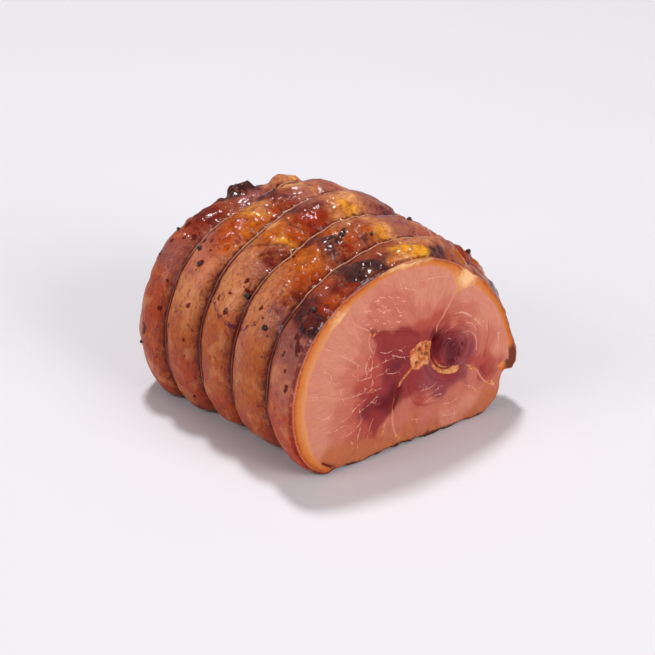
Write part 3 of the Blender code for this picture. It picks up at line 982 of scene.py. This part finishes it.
# what the finish of the cut face reads at each point, and how far the point stands out
def faceFields(flat, rim):
    solid = np.column_stack([flat, np.zeros(len(flat))])
    rimDepth, _ = chainDistance(flat, closedRing(rim))
    turn = np.degrees(np.arctan2(flat[:, 1] - coreUp, flat[:, 0]))
    turn = np.where(turn < -90, turn + 360, turn)
    fatEdge = np.interp(turn, *zip(*cutFace["fatDepth"])) * (1 + 0.1 * fuzz(solid, 9.0, 1.0)) - rimDepth

    seam, seamAway, seamDepth = strokeField(flat, cutFace["seams"])
    crack, crackAway, crackDepth = strokeField(flat, cutFace["cracks"])
    ridge, _, ridgeRise = strokeField(flat, cutFace["fatRidges"])
    # pale flecks, veins and the painted highlight arcs of the ringed muscle
    fleck, _, _ = strokeField(flat, [(half, 0.0, corners) for half, corners in marbling()], 0.35)

    gristle = cutFace["gristle"]
    off = np.abs((flat - gristle["at"]) / gristle["half"])
    blob = (off ** 2.6).sum(axis=1) ** (1 / 2.6) + 0.12 * fuzz(solid, 4.0, 2.0)
    inner = np.maximum(-ridge, (1.0 - blob) * 7.0)        # mm inside the bright fat
    pits = np.zeros(len(flat))
    for across, up, half in gristle["pits"]:
        pits = np.maximum(pits, bell(np.hypot(flat[:, 0] - across, flat[:, 1] - up), half))

    whorl = cutFace["whorl"]
    outFrom = np.hypot(*((flat - whorl["at"]) / (1.0, 0.95)).T)
    swirl = np.sin(outFrom * 2 * math.pi / whorl["apart"]) * smooth(27, 20, outFrom) * smooth(5, 9, outFrom)
    away = np.minimum.reduce([seamAway, crackAway, np.maximum(-fatEdge, 0.0) + 0.5])
    paleFatAndHighlight = sum(pale * bell(np.hypot(*((flat - (across, up)) / (wide, high)).T), 1.0)
               for across, up, wide, high, pale in cutFace["paleFatAndHighlight"])
    relief = (cutFace["dome"] * (1 - np.exp(-away / 4.0)) - seamDepth - crackDepth
              - whorl["dip"] * bell(outFrom, 9.0) + whorl["ridge"] * swirl
              + cutFace["lumps"] * fuzz(solid, 13.0, 4.0) + cutFace["fine"] * fuzz(solid, 3.0, 5.0, 2)
              + gristle["rise"] * smooth(1.15, 0.7, blob) - gristle["pitDepth"] * pits
              + ridgeRise * smooth(1.0, -0.8, ridge) + cutFace["fatRise"] * smooth(0.0, 2.0, fatEdge))
    grain = fibreField(flat)
    return {
        "strokes": np.stack([seam, crack, fleck, rimDepth], axis=1),
        "tint": leanTint(flat, solid, grain),
        "fats": np.stack([inner, fatEdge, pits, paleFatAndHighlight], axis=1),
        "grain": grain,
        "relief": relief * smooth(0.0, 1.6, rimDepth),
    }


# the far end shows the same muscles, browned
farEnd = {
    "step": 1.5,             # mm between points
    "size": 0.8,             # of the cut face
    "relief": 1.6,           # times that of the cut face
    "uneven": 1.5,           # mm
    "bulge": 1.5,            # mm
}


# what an end's finish reads, and mm that each point stands back from its rim
def frontDress(flat, rim):
    fields = faceFields(flat, rim)
    return fields, -fields["relief"]


def backDress(flat, rim):
    fields = faceFields(flat / farEnd["size"], rim / farEnd["size"])
    solid = np.column_stack([flat, np.full(len(flat), 50.0)])
    uneven = farEnd["uneven"] * fuzz(solid, 17.0, 6.0, 2)
    height = farEnd["relief"] * fields["relief"] + uneven - farEnd["bulge"]
    return fields, height * smooth(0.0, 6.0, chainDistance(flat, closedRing(rim))[0])


def buildJoint():
    rowCount, columnCount = skin.shape[:2]
    starts = np.arange(rowCount - 1)[:, None] * columnCount
    here, after = np.arange(columnCount), (np.arange(columnCount) + 1) % columnCount
    faces = [starts + here, starts + columnCount + here, starts + columnCount + after, starts + after]
    faces = np.stack(faces, axis=2).reshape(-1, 4).tolist()
    leanColumn = (turns < rind["endTurn"]) | (turns > rind["leftEndTurn"])
    kinds = np.tile(leanColumn, rowCount - 1).astype(int).tolist()
    points = [skin.reshape(-1, 3)]

    # what each finish reads at a point; what doesn't touch it is far off
    none = np.zeros_like(turnGrid)
    farOff = none + 99.0
    leanTone = np.array([*shade(*leanTones["gold"][0]), 0.3])
    side = {
        "tint": np.moveaxis(np.where(leanColumn[:, None], leanTone, panelMix[..., :4]), 2, 0),
        "zones": [panelMix[..., 4], panelMix[..., 5], creases, spotMask()],
        "marks": [np.abs(twineGap), inkDistance(), backGrid, skin[..., 2]],
        "strokes": [farOff, farOff, farOff, none + 30.0],
        "fats": [-farOff, -farOff, none, none],
        "grain": [np.radians(turnGrid) * 70, backGrid, farOff],
        "roast": [smooth(-0.5, 3.0, backGrid)] * 3,
    }
    marks = {name: [np.stack(values, axis=2).reshape(-1, len(values))] for name, values in side.items()}

    # closes an end of the grid, its rim being a row of the skin
    def addCap(row, step, strokes, dress, roast):
        rim = skin[row][:, [0, 2]]
        flat, triangles, rimOf = fillOutline(rim, step, strokes)
        fields, height = dress(flat, rim)
        inner = [k for k in range(len(flat)) if k not in rimOf]
        count = sum(len(part) for part in points)
        index = {k: row * columnCount + source for k, source in rimOf.items()}
        index.update((k, count + n) for n, k in enumerate(inner))
        points.append(np.stack([flat[:, 0], skin[row][:, 1].mean() + height, flat[:, 1]], axis=1)[inner])
        order = 1 if row == 0 else -1
        faces.extend([index[k] for k in triangle][::order] for triangle in triangles)
        kinds.extend([1] * len(triangles))
        blank = {"zones": np.zeros((len(inner), 4)), "marks": np.full((len(inner), 4), 99.0),
                 "roast": np.full((len(inner), 3), roast)}
        for name, parts in marks.items():
            parts.append(blank[name] if name in blank else fields[name][inner])

    lines = [corners for key in ("seams", "cracks", "fatRidges") for _, _, corners in cutFace[key]]
    addCap(0, cutFace["step"], lines + [corners for _, corners in marbling()], frontDress, 0.0)
    lines = [corners for _, _, corners in cutFace["seams"][:6] + cutFace["cracks"][:3]]
    lines = [[(x * farEnd["size"], z * farEnd["size"]) for x, z in corners] for corners in lines]
    addCap(rowCount - 1, farEnd["step"], lines, backDress, 1.0)
    marks = {name: np.concatenate(parts) for name, parts in marks.items()}
    return np.concatenate(points), faces, kinds, marks


# darker and paler touches over the panels
rindTouches = {
    "deep": (100, 22, 8), "scorch": (44, 9, 9), "scorchPale": (98, 28, 16), "film": (206, 124, 72),
    "stain": (84, 16, 8), "ink": (98, 36, 62), "mauve": (142, 70, 60), "ochre": (204, 118, 58),
    # side is the dark of the skin's streaks, and also the painted shade beside the twine
    "light": (212, 136, 88), "side": (112, 36, 22), "red": (142, 38, 8),
}


def rindFinish():
    f = Finish("gammonRind", rindTouches, Coat_Roughness=0.08, Specular_IOR_Level=0.06,
               Subsurface_Weight=0.06, Subsurface_Scale=0.003, Subsurface_Radius=(1.0, 0.4, 0.2))
    tint = f.carried("tint", "Color")
    chart = f.carried("grain", "Vector")
    scorch, _, creases, spots = f.mark("zones")
    twineGap, ink, back, up = f.mark("marks")
    cloud = f.noise(6, 4, 0.6, bend=0.5)
    mottle = f.noise(4.0, 3, 0.6, bend=0.8)
    patch = f.noise(9.0, 3, 0.6, bend=0.8)
    fleck = f.noise(1.6, 3, 0.65)
    grit = f.noise(0.5, 2, 0.6)
    streak = f.noise(1.0, 3, 0.6, chart, (6, 1, 1), 0.4, 1.0)
    hairs = f.noise(0.9, 3, 0.65, chart, (4, 1, 1), 0.6, 1.0)
    glazed = f.step(f.ragged(f.carried("tint", "Alpha"), 0.5, fleck), 0.3, 0.55)

    # skin is mottled from mauve to ochre, and finely streaked round the joint; painted shade darkens it
    # beside the twine
    f.whole = tint
    f.paint(0.7, f.step(mottle, 0.5, 0.32), "mauve")
    f.paint(0.45, f.step(patch, 0.52, 0.68), "ochre")
    f.paint(0.5, f.step(f.noise(11, 3, 0.55), 0.5, 0.64), "light")
    f.paint(0.4, f.step(streak, 0.52, 0.75), "light")
    f.paint(0.4, f.step(streak, 0.46, 0.28), "side")
    # painted shade: the skin darkens within a few mm of each loop, where the pillows curve down into the
    # grooves
    f.paint(0.7, f.step(f.ragged(twineGap, 9.0, mottle), 6.0, 0.5), "side")
    bareSkin = f.whole

    # glazed fat is cloudy, and crossed by fine dark wrinkles
    f.whole = tint
    bright, dark = f.scaled(tint, 1.35, 1.65, 1.3), f.scaled(tint, 0.45, 0.2, 0.2)
    f.paint(0.7, f.step(cloud, 0.5, 0.66), bright)
    f.paint(0.65, f.step(cloud, 0.46, 0.32), dark)
    f.paint(0.5, f.step(f.noise(3.0, 3, 0.6), 0.46, 0.32), dark)
    f.paint(0.55, f.step(hairs, 0.46, 0.34), dark)
    f.whole = f.mix(glazed, bareSkin, f.whole)

    # dark specks of dried juice, and more of them where the ink was
    bare = f.flip(glazed)
    specks = f.step(f.cells(2.3, chart, (1.5, 1, 1), 1.0), 0.3, 0.17)
    specks = f.times(specks, f.step(f.noise(7.0, 3, 0.7), 0.5, 0.6))
    f.paint(0.75, f.times(specks, bare), "stain")
    dashes = f.step(f.noise(1.9, 3, 0.65, chart, (1.8, 0.9, 1), 0.0, 1.0), 0.56, 0.64)
    f.paint(0.55, f.times(f.times(f.step(ink, 1.0, -4.0), dashes), bare), "ink")
    line = f.math("ABSOLUTE", f.ragged(ink, 6.0, cloud))
    inked = f.times(f.step(line, 1.7, 0.6), f.step(f.noise(3.4, 3, 0.75), 0.44, 0.56))
    f.paint(0.9, f.times(inked, bare), "ink")

    # scorched patches, burnt spots and blisters
    cinders = f.mix(f.step(f.ragged(grit, 0.4, fleck), 0.5, 0.7), f.tones["scorch"], f.tones["scorchPale"])
    burnt = f.step(f.plus(scorch, f.plus(f.sway(0.7, fleck), f.sway(0.8, cloud))), 0.44, 0.66)
    f.paint(0.92, burnt, cinders)
    f.paint(0.7, f.step(spots, 0.05, 0.5), "red")
    f.paint(0.9, f.step(f.ragged(spots, 1.1, fleck), 0.3, 0.5), "stain")

    # a paler film of skin lies along the creases, which are darker deeper in; juice has dried at the rim of
    # the cut face, beside the twine and at the foot
    f.paint(0.3, f.times(f.step(creases, 0.05, 0.3), f.step(fleck, 0.4, 0.6)), "film")
    f.paint(0.6, f.step(creases, 0.2, 0.75), "deep")
    f.paint(0.7, f.times(f.step(back, 2.2, 0.6), f.step(f.noise(5, 2, 0.5), 0.36, 0.5)), "deep")
    f.paint(0.8, f.step(f.ragged(twineGap, 4.0, f.noise(2.4, 3, 0.6)), 2.0, 0.8), "stain")
    f.paint(0.6, f.step(f.ragged(up, 9.0, cloud), 9.0, 1.0), "stain")
    f.set("Base_Color", f.whole)

    shine = f.most(glazed, burnt)
    f.set("Roughness", f.math("SUBTRACT", f.ragged(0.42, 0.2, fleck), f.times(0.12, shine)))
    f.set("Coat_Weight", f.plus(f.plus(0.16, f.times(0.22, shine)), f.times(0.3, burnt)))

    pores = f.step(f.cells(1.1), 0.32, 0.12)
    folds = f.noise(1.8, 3, 0.6, chart, (2.5, 1, 1), 0.6, 1.0)
    folds = f.math("ABSOLUTE", f.math("SUBTRACT", folds, 0.5))
    leather = f.plus(f.plus(f.times(0.3, streak), f.times(1.6, folds)), f.times(-0.15, pores))
    wrinkle = f.math("ABSOLUTE", f.math("SUBTRACT", f.noise(2.2, 3, 0.6, stretch=(1, 0.5, 1)), 0.5))
    bubbles = f.plus(f.times(1.6, wrinkle), f.times(0.6, hairs))
    blobs = f.times(1.2, f.noise(3.2, 2, 0.5))
    crust = f.plus(f.times(1.8, f.noise(1.3, 3, 0.6)), f.times(0.25, grit))
    glossy = f.step(shine, 0.2, 0.8)
    height = f.mix(glossy, leather, f.plus(blobs, f.times(0.8, bubbles)))
    f.relief(f.mix(burnt, height, crust), 0.5, 0.85)
    # the juice over it is smoother, and gathers in beads on the glazed fat
    beads = f.plus(f.times(0.8, f.noise(3.2, 1, 0.4)), f.times(0.3, f.noise(1.5, 1, 0.4)))
    sweat = f.noise(2.2, 1, 0.4, chart, (2.0, 1, 1), 0.3, 1.0)
    sweat = f.plus(f.times(0.4, sweat), f.times(0.12, fleck))
    f.relief(f.mix(glossy, sweat, beads), 0.8, 1.0, "Coat_Normal")
    return f.material


# touches over the lean, and the tones of the fat
leanTouches = {
    "vein": (232, 170, 148), "seam": (218, 146, 118), "crack": (108, 10, 8),
    "fatOuter": (170, 72, 20), "fat": (206, 118, 54), "fatInner": (216, 142, 92),
    "fatPaleAndHighlight": (248, 200, 146), "gristle": (184, 90, 44), "rindEdge": (96, 26, 10),
    "roast": (146, 78, 50), "roastDark": (92, 40, 26),
    "crust": (58, 20, 11), "flap": (84, 28, 30), "cream": (230, 160, 106),
}


def leanFinish():
    f = Finish("gammonLean", leanTouches, Coat_Roughness=0.15, Specular_IOR_Level=0.06,
               Subsurface_Weight=0.06, Subsurface_Scale=0.003, Subsurface_Radius=(1.0, 0.35, 0.2))
    tint = f.carried("tint", "Color")
    seam, crack, vein, rim = f.mark("strokes")
    inner, fatEdge, pits, paleFatAndHighlight = f.mark("fats")
    roast = f.mark("roast")[0]
    grain = f.carried("grain", "Vector")
    height = f.add("SeparateXYZ", f.place).outputs["Z"]
    up = f.plus(f.times(height, 1.0 / mm), -float(jointLow[2]))
    cloud = f.noise(6, 3, 0.6)
    fleck = f.noise(1.4, 3, 0.6)
    fibre = f.noise(0.7, 2, 0.6, grain, (1, 6, 1), 0.0, 1.0)
    bundle = f.noise(2.4, 3, 0.6, grain, (1, 5, 1), 0.0, 1.0)

    # lean is streaked along its fibres, and crossed by veins and by the seams between muscles
    f.whole = tint
    lighter, darker = f.scaled(tint, 1.12, 1.25, 1.25), f.scaled(tint, 0.86, 0.68, 0.7)
    f.paint(0.45, f.step(bundle, 0.5, 0.75), lighter)
    f.paint(0.45, f.step(bundle, 0.5, 0.28), darker)
    f.paint(0.3, f.step(fibre, 0.5, 0.7), lighter)
    f.paint(0.3, f.step(fibre, 0.48, 0.3), darker)
    soft = f.sway(0.4, fleck)
    broken = f.step(f.noise(2.4, 2, 0.6), 0.36, 0.56)
    # the veins' pale tone also paints the highlight arcs on the ringed muscle
    f.paint(0.7, f.times(broken, f.step(f.plus(vein, soft), 0.2, -0.15)), "vein")
    f.paint(0.7, f.step(f.plus(seam, soft), 0.35, -0.3), "seam")

    # fat inside the lean, then the band of fat under the rind
    richness = f.plus(f.sway(1.8, f.noise(2.2, 3, 0.6)), f.times(0.5, paleFatAndHighlight))
    innerTone = f.mix(f.times(0.9, f.step(richness, -0.25, 0.3)), f.tones["gristle"], f.tones["cream"])
    innerTone = f.mix(f.times(0.75, f.step(pits, 0.2, 0.8)), innerTone, f.tones["rindEdge"])
    f.paint(1, f.step(f.ragged(inner, 1.4, fleck), -0.4, 0.5), innerTone)
    fatHere = f.step(f.ragged(fatEdge, 0.9, fleck), -0.7, 0.7)
    depth = f.ragged(rim, 2.4, cloud)
    fatTone = f.mix(f.step(depth, 0.3, 3.2), f.tones["fatOuter"], f.tones["fat"])
    fatTone = f.mix(f.step(depth, 2.8, 7.5), fatTone, f.tones["fatInner"])
    # the palest fat tone, and the painted highlight along the top edge
    paleFatAndHighlightShare = f.step(f.ragged(paleFatAndHighlight, 1.1, f.noise(3.0, 3, 0.6)), 0.05, 1.0)
    fatTone = f.mix(f.times(0.85, paleFatAndHighlightShare), fatTone, f.tones["fatPaleAndHighlight"])
    fatTone = f.mix(f.times(0.85, f.step(paleFatAndHighlight, -0.1, -0.5)), fatTone, f.tones["flap"])
    f.paint(1, fatHere, fatTone)
    f.paint(0.85, f.step(f.ragged(rim, 1.2, fleck), 1.0, 0.2), "rindEdge")
    cracked = f.step(f.plus(crack, soft), 0.3, -0.3)
    f.paint(0.9, cracked, "crack")

    # the far end and the underside are browned, and the foot of the cut face is crusted
    browning = f.step(f.plus(cloud, f.times(0.3, fibre)), 0.5, 0.85)
    f.paint(0.6, roast, f.mix(browning, f.tones["roast"], f.tones["roastDark"]))
    crusted = f.step(f.ragged(up, 8.0, cloud), 3.2, 1.2)
    f.paint(0.9, crusted, "crust")
    f.set("Base_Color", f.whole)

    wet = f.most(f.most(cracked, f.carried("tint", "Alpha")), crusted)
    f.set("Roughness", f.math("SUBTRACT", f.ragged(0.42, 0.2, fibre), f.times(0.12, wet)))
    f.set("Coat_Weight", f.plus(0.02, f.times(0.16, wet)))
    threads = f.plus(f.times(0.7, fibre), f.times(0.3, fleck))
    f.relief(f.mix(fatHere, threads, f.times(0.6, fleck)), 0.4, 0.6)
    return f.material


def makeJoint():
    points, faces, kinds, marks = buildJoint()
    piece = makePiece("gammonJoint", points, faces, [rindFinish(), leanFinish()],
                      ["gammon"], kinds, marks)
    print("joint:", len(points), "points,", len(faces), "faces")
    return piece


makeJoint()


# four loops of butcher's twine, each with its knot
twine = {
    "thickness": 1.1,        # mm
    "sunk": 0.35,            # how much of its thickness lies in the groove
    "lay": 3.6,              # mm for one turn of the strands
    "strands": 3,
    "plyDepth": 0.34,        # how deep the strands part, of half the thickness
    "knotThickness": 1.012,  # mm
    "sides": 12,
    "ringStep": 0.9,         # mm between rings of points along it
    # where each loop is tied: its turn, and how far its cut ends reach
    "knots": [(-22, 9), (120, 7), (-12, 8), (12, 8)],
    "kink": (1, 87, 1.2),    # a small lump: on the second loop, at this turn, and mm thick
    # how high, long and wide a knot's winding is, in half thicknesses, and how often it goes round
    "winding": (1.25, 1.55, 1.68), "windings": 2,
    # the cut ends: mm high, mm along the loop, and the share of their reach
    "cutEnds": [(0.55, 2.4, 0.5), (0.25, 2.0, 1.0)],
    "board": 0.52,           # of its thickness, how high its middle stays above the board
    # dry and pale over the top, partly as a painted highlight, and soaked in juice lower down, its lighter
    # parts partly painted strand highlights
    "tones": {
        "dryDark": (168, 84, 48), "dryAndLit": (240, 180, 142),
        "soakedDark": (88, 26, 16), "soaked": (150, 74, 52),
    },
}


# a tube of twisted strands along a route; its rings never roll, so the lay stays even
def twistedTube(route, normals, closed, thickness):
    count, sides = len(route), twine["sides"]
    ahead = np.roll(route, -1, axis=0) - np.roll(route, 1, axis=0)
    if not closed:
        ahead[0], ahead[-1] = route[1] - route[0], route[-1] - route[-2]
    ahead = oneLong(ahead)
    outward = oneLong(normals - (normals * ahead).sum(axis=1, keepdims=True) * ahead)
    sideways = np.cross(ahead, outward)
    run = runAlong(route)
    whole = run[-1] + (np.linalg.norm(route[0] - route[-1]) if closed else 0.0)
    spin = run / whole * max(1, round(whole / twine["lay"])) * 2 * math.pi
    angle = np.arange(sides) * 2 * math.pi / sides
    deep = twine["plyDepth"]
    lobes = 1 - deep + deep * np.abs(np.cos(twine["strands"] / 2 * (angle[None, :] - spin[:, None])))
    radius = (thickness[:, None] * 0.5 * lobes)[..., None]
    cos, sin = np.cos(angle)[None, :, None], np.sin(angle)[None, :, None]
    points = route[:, None] + radius * (cos * outward[:, None] + sin * sideways[:, None])
    faces = []
    for j in range(count if closed else count - 1):
        n = (j + 1) % count
        for i in range(sides):
            k = (i + 1) % sides
            faces.append((j * sides + i, j * sides + k, n * sides + k, n * sides + i))
    if not closed:
        faces.append(tuple(range(sides))[::-1])
        faces.append(tuple((count - 1) * sides + i for i in range(sides)))
    return points.reshape(-1, 3), faces


def skinAt(turn, back):
    column = int(np.abs(wrapTurn(turns - turn)).argmin())
    return skin[nearestRow(back), column], skinNormals[nearestRow(back), column]


# a small knot: turns wound across the cord, then two cut ends
def knotRoutes(turn, back, cutEnd):
    middle, up = skinAt(turn, back)
    along = oneLong((middle - skinAt(turn - 3, back)[0])[None])[0]
    across = np.cross(up, along)
    half = twine["thickness"] / 2

    def spot(high, forward, aside):
        return middle + up * high + along * forward + across * aside

    high, long, wide = (size * half for size in twine["winding"])
    steps = np.linspace(0, 1, 44)
    angles = steps * twine["windings"] * 2 * math.pi
    routes = [np.array([spot(0.35 + high * math.sin(angle), long * math.cos(angle), wide * (share - 0.5))
                        for share, angle in zip(steps, angles)])]
    for side in (-1, 1):
        corners = [spot(0.7, side * half, 0.0), spot(1.1, side * 1.2, side * 1.2)]
        for height, run, share in twine["cutEnds"]:
            corners.append(spot(height, side * run, side * cutEnd * share))
        routes.append(smoothLine(corners, 0.6))
    return routes, up


# the ring that a loop follows in its groove, and which way is out from the joint along it
def twineRoute(number):
    row = nearestRow(loopBacks[number])
    normals = closedRing(skinNormals[row])
    line = skin[row] + skinNormals[row] * twine["thickness"] * (0.5 - twine["sunk"])
    line = smoothRound(line.T, 6).T
    closed = closedRing(line)
    route = evenly(closed, twine["ringStep"])[:-1]
    run = runAlong(closed)
    share = np.linspace(0, run[-1], len(route), endpoint=False)
    facing = np.stack([np.interp(share, run, side) for side in normals.T], axis=1)
    facing[:, 1] = 0.0
    route[:, 2] = np.maximum(route[:, 2], jointLow[2] + twine["board"] * twine["thickness"])
    return route, facing


def twineFinish():
    f = Finish("butchersTwine", twine["tones"], Coat_Roughness=0.2)
    height = f.times(f.add("SeparateXYZ", f.place).outputs["Z"], 1.0 / mm)
    cloud = f.noise(8, 3, 0.6)
    strand = f.noise(0.35, 2, 0.6)
    # pale where dry over the top, which is partly a painted highlight
    dryAndLitTop = f.step(f.ragged(height, 26.0, cloud), 78.0, 102.0)
    dryAndLit = f.mix(f.step(strand, 0.38, 0.6), f.tones["dryDark"], f.tones["dryAndLit"])
    # soaked twine varies at random, and its lighter parts stand in for highlights on the strands
    stainsAndStrandHighlights = f.step(f.plus(f.times(0.6, strand), f.times(0.4, cloud)), 0.42, 0.6)
    soaked = f.mix(stainsAndStrandHighlights, f.tones["soakedDark"], f.tones["soaked"])
    f.set("Base_Color", f.mix(f.times(0.85, dryAndLitTop), soaked, dryAndLit))
    f.set("Roughness", f.plus(0.4, f.times(0.25, dryAndLitTop)))
    f.set("Coat_Weight", f.times(0.3, f.flip(dryAndLitTop)))
    f.relief(strand, 0.2, 0.8)
    return f.material


def makeTwine(number, finish):
    route, facing = twineRoute(number)
    thickness = np.full(len(route), twine["thickness"])
    kinked, kinkTurn, kinkSize = twine["kink"]
    if number == kinked:
        kink, _ = skinAt(kinkTurn, loopBacks[number])
        thickness += kinkSize * bell(np.linalg.norm(route - kink, axis=1), 1.6)
    points, faces = twistedTube(route, facing, True, thickness)
    turn, cutEnd = twine["knots"][number]
    routes, up = knotRoutes(turn, loopBacks[number], cutEnd)
    for line in routes:
        along = np.gradient(line, axis=0)
        side = np.cross(along, np.roll(along, 3, axis=0) + 0.3 * up)
        side = side / (1e-6 + np.linalg.norm(side, axis=1, keepdims=True))
        thickness = np.full(len(line), twine["knotThickness"])
        more, moreFaces = twistedTube(line, up + 0.35 * side, False, thickness)
        faces += [tuple(i + len(points) for i in face) for face in moreFaces]
        points = np.vstack([points, more])
    points[:, 2] = np.maximum(points[:, 2], jointLow[2] + 0.02)
    return makePiece(f"twineLoop{number + 1}", points, faces, [finish], [f"twine_{number + 1}"])


stringFinish = twineFinish()
for number in range(4):
    makeTwine(number, stringFinish)
print("twine wound")


# peppercorns stuck in the glaze
peppercorns = {
    "size": 4.0,             # mm across
    "wrinkle": 0.352,
    "shape": (1.0, 0.93, 0.88),
    "raised": 0.15,          # of its half size, how far its middle stands off the skin
    "tones": {"dark": (16, 7, 6), "brown": (52, 22, 15)},
    # the turn, how far back, and the share of that size
    "places": [
        (141, 107, 1.0), (146, 100, 0.95), (148, 62, 1.0), (155, 36, 1.0), (138, 10, 1.0), (140.5, 13, 0.6),
        (98, 43, 1.0), (96.5, 44.5, 0.75), (99.5, 41, 0.6), (87, 33, 0.6), (138, 137, 0.7),
        (190, 136, 0.65), (68, 135, 0.8), (57, 45, 0.9), (42, 8, 0.7), (160, 122, 0.45), (152, 138, 0.45),
        (60, 60, 0.6), (35, 22, 0.9), (24, 70, 1.0), (50, 95, 0.9), (8, 40, 0.8), (14, 118, 1.0),
        (32, 138, 0.6), (70, 84, 0.7), (-4, 66, 0.8), (212, 52, 0.6), (204, 96, 0.5), (-8, 92, 0.7),
        (18, 100, 0.6),
    ],
}


def ballMesh(detail):
    ball = bmesh.new()
    bmesh.ops.create_icosphere(ball, subdivisions=detail, radius=1.0)
    points = np.array([tuple(v.co) for v in ball.verts])
    faces = [tuple(v.index for v in face.verts) for face in ball.faces]
    ball.free()
    return points, faces


def pepperFinish():
    f = Finish("peppercorn", peppercorns["tones"],
               Coat_Weight=0.5, Coat_Roughness=0.12, Specular_IOR_Level=0.3)
    crust = f.noise(0.8, 4, 0.65)
    whole = f.mix(f.step(crust, 0.4, 0.62), f.tones["dark"], f.tones["brown"])
    f.set("Base_Color", whole)
    f.set("Roughness", f.plus(0.35, f.times(0.35, crust)))
    f.relief(crust, 0.3, 0.8)
    return f.material


def makePeppercorns():
    rng = np.random.default_rng(21)
    ball, ballFaces = ballMesh(3)
    points, faces = [], []
    for k, (turn, back, share) in enumerate(peppercorns["places"]):
        at, up = skinAt(turn, back)
        size = peppercorns["size"] / 2 * share
        wrinkles = fuzz(ball * 3.0 + k * 9.1, 1.5, 1.0, 2)
        dented = ball * (1.0 - peppercorns["wrinkle"] * np.abs(wrinkles)[:, None])
        turned = np.array(Euler(rng.uniform(0, 6.28, 3)).to_matrix())
        placed = (dented * peppercorns["shape"]) @ turned.T * size + at + up * size * peppercorns["raised"]
        placed[:, 2] = np.maximum(placed[:, 2], jointLow[2] + 0.05)
        faces += [tuple(i + k * len(ball) for i in face) for face in ballFaces]
        points.append(placed)
    return makePiece("peppercorns", np.concatenate(points), faces, [pepperFinish()])


makePeppercorns()
print("peppercorns placed")


# floor, light and camera
studio = {
    "floor": (226, 223, 228), "floorHalf": 4.0,    # metres
    "sky": (1.0, 1.0, 1.02), "skyPower": 0.25,
    # each lamp: where it shines from, its power, and how wide it is in metres
    "lamps": {
        "overheadLamp": ((0.12, 0.3, 0.94), 42.0, 0.4),
        "frontLamp": ((0.15, -1.0, 0.5), 39.0, 1.5),
        "sideLamp": ((-0.9, 0.1, 0.6), 18.0, 1.1),
    },
    "lampDistance": 2.6,
    "azimuth": -37.5, "elevation": 27.5, "distance": 1.3, "lens": 128.2,
    "aim": (-6.4, -14.0, -10.2),   # mm, from the middle of the joint's box
}


def backVector(azimuth, elevation):
    a, e = math.radians(azimuth), math.radians(elevation)
    return Vector((math.sin(a) * math.cos(e), -math.cos(a) * math.cos(e), math.sin(e)))


# a lamp or the camera at a spot, looking back along a heading
def hang(name, data, spot, heading):
    holder = bpy.data.objects.new(name, data)
    holder.location = spot
    holder.rotation_euler = heading.to_track_quat("Z", "Y").to_euler()
    bpy.context.scene.collection.objects.link(holder)
    return holder


def makeStudio():
    scene = bpy.context.scene
    boxMiddle = (cadBox[0] + cadBox[1]) / 2
    world = bpy.data.worlds.new("paleRoom")
    world.use_nodes = True
    world.node_tree.nodes["Background"].inputs["Color"].default_value = (*studio["sky"], 1.0)
    world.node_tree.nodes["Background"].inputs["Strength"].default_value = studio["skyPower"]
    scene.world = world

    floor = Finish("paleFloor", Roughness=0.7)
    light = shade(*studio["floor"])
    floor.set("Base_Color", floor.mix(floor.noise(60, 4, 0.55), tuple(c * 0.98 for c in light), light))
    data = bpy.data.meshes.new("floor")
    half = studio["floorHalf"]
    corners = [(-half, -half), (half, -half), (half, half), (-half, half)]
    data.from_pydata([(*corner, cadBox[0].z) for corner in corners], [], [(0, 1, 2, 3)])
    data.materials.append(floor.material)
    plane = bpy.data.objects.new("floor", data)
    scene.collection.objects.link(plane)

    for name, (heading, power, width) in studio["lamps"].items():
        lamp = bpy.data.lights.new(name, "AREA")
        lamp.shape = "DISK"
        lamp.energy, lamp.size = power, width
        heading = Vector(heading)
        hang(name, lamp, boxMiddle + heading.normalized() * studio["lampDistance"], heading)

    camera = bpy.data.cameras.new("camera")
    camera.lens, camera.sensor_width = studio["lens"], 36.0
    away = backVector(studio["azimuth"], studio["elevation"])
    spot = boxMiddle + Vector(studio["aim"]) * mm + away * studio["distance"]
    scene.camera = hang("camera", camera, spot, away)
    scene.view_settings.view_transform = "Standard"


makeStudio()
print("studio set")
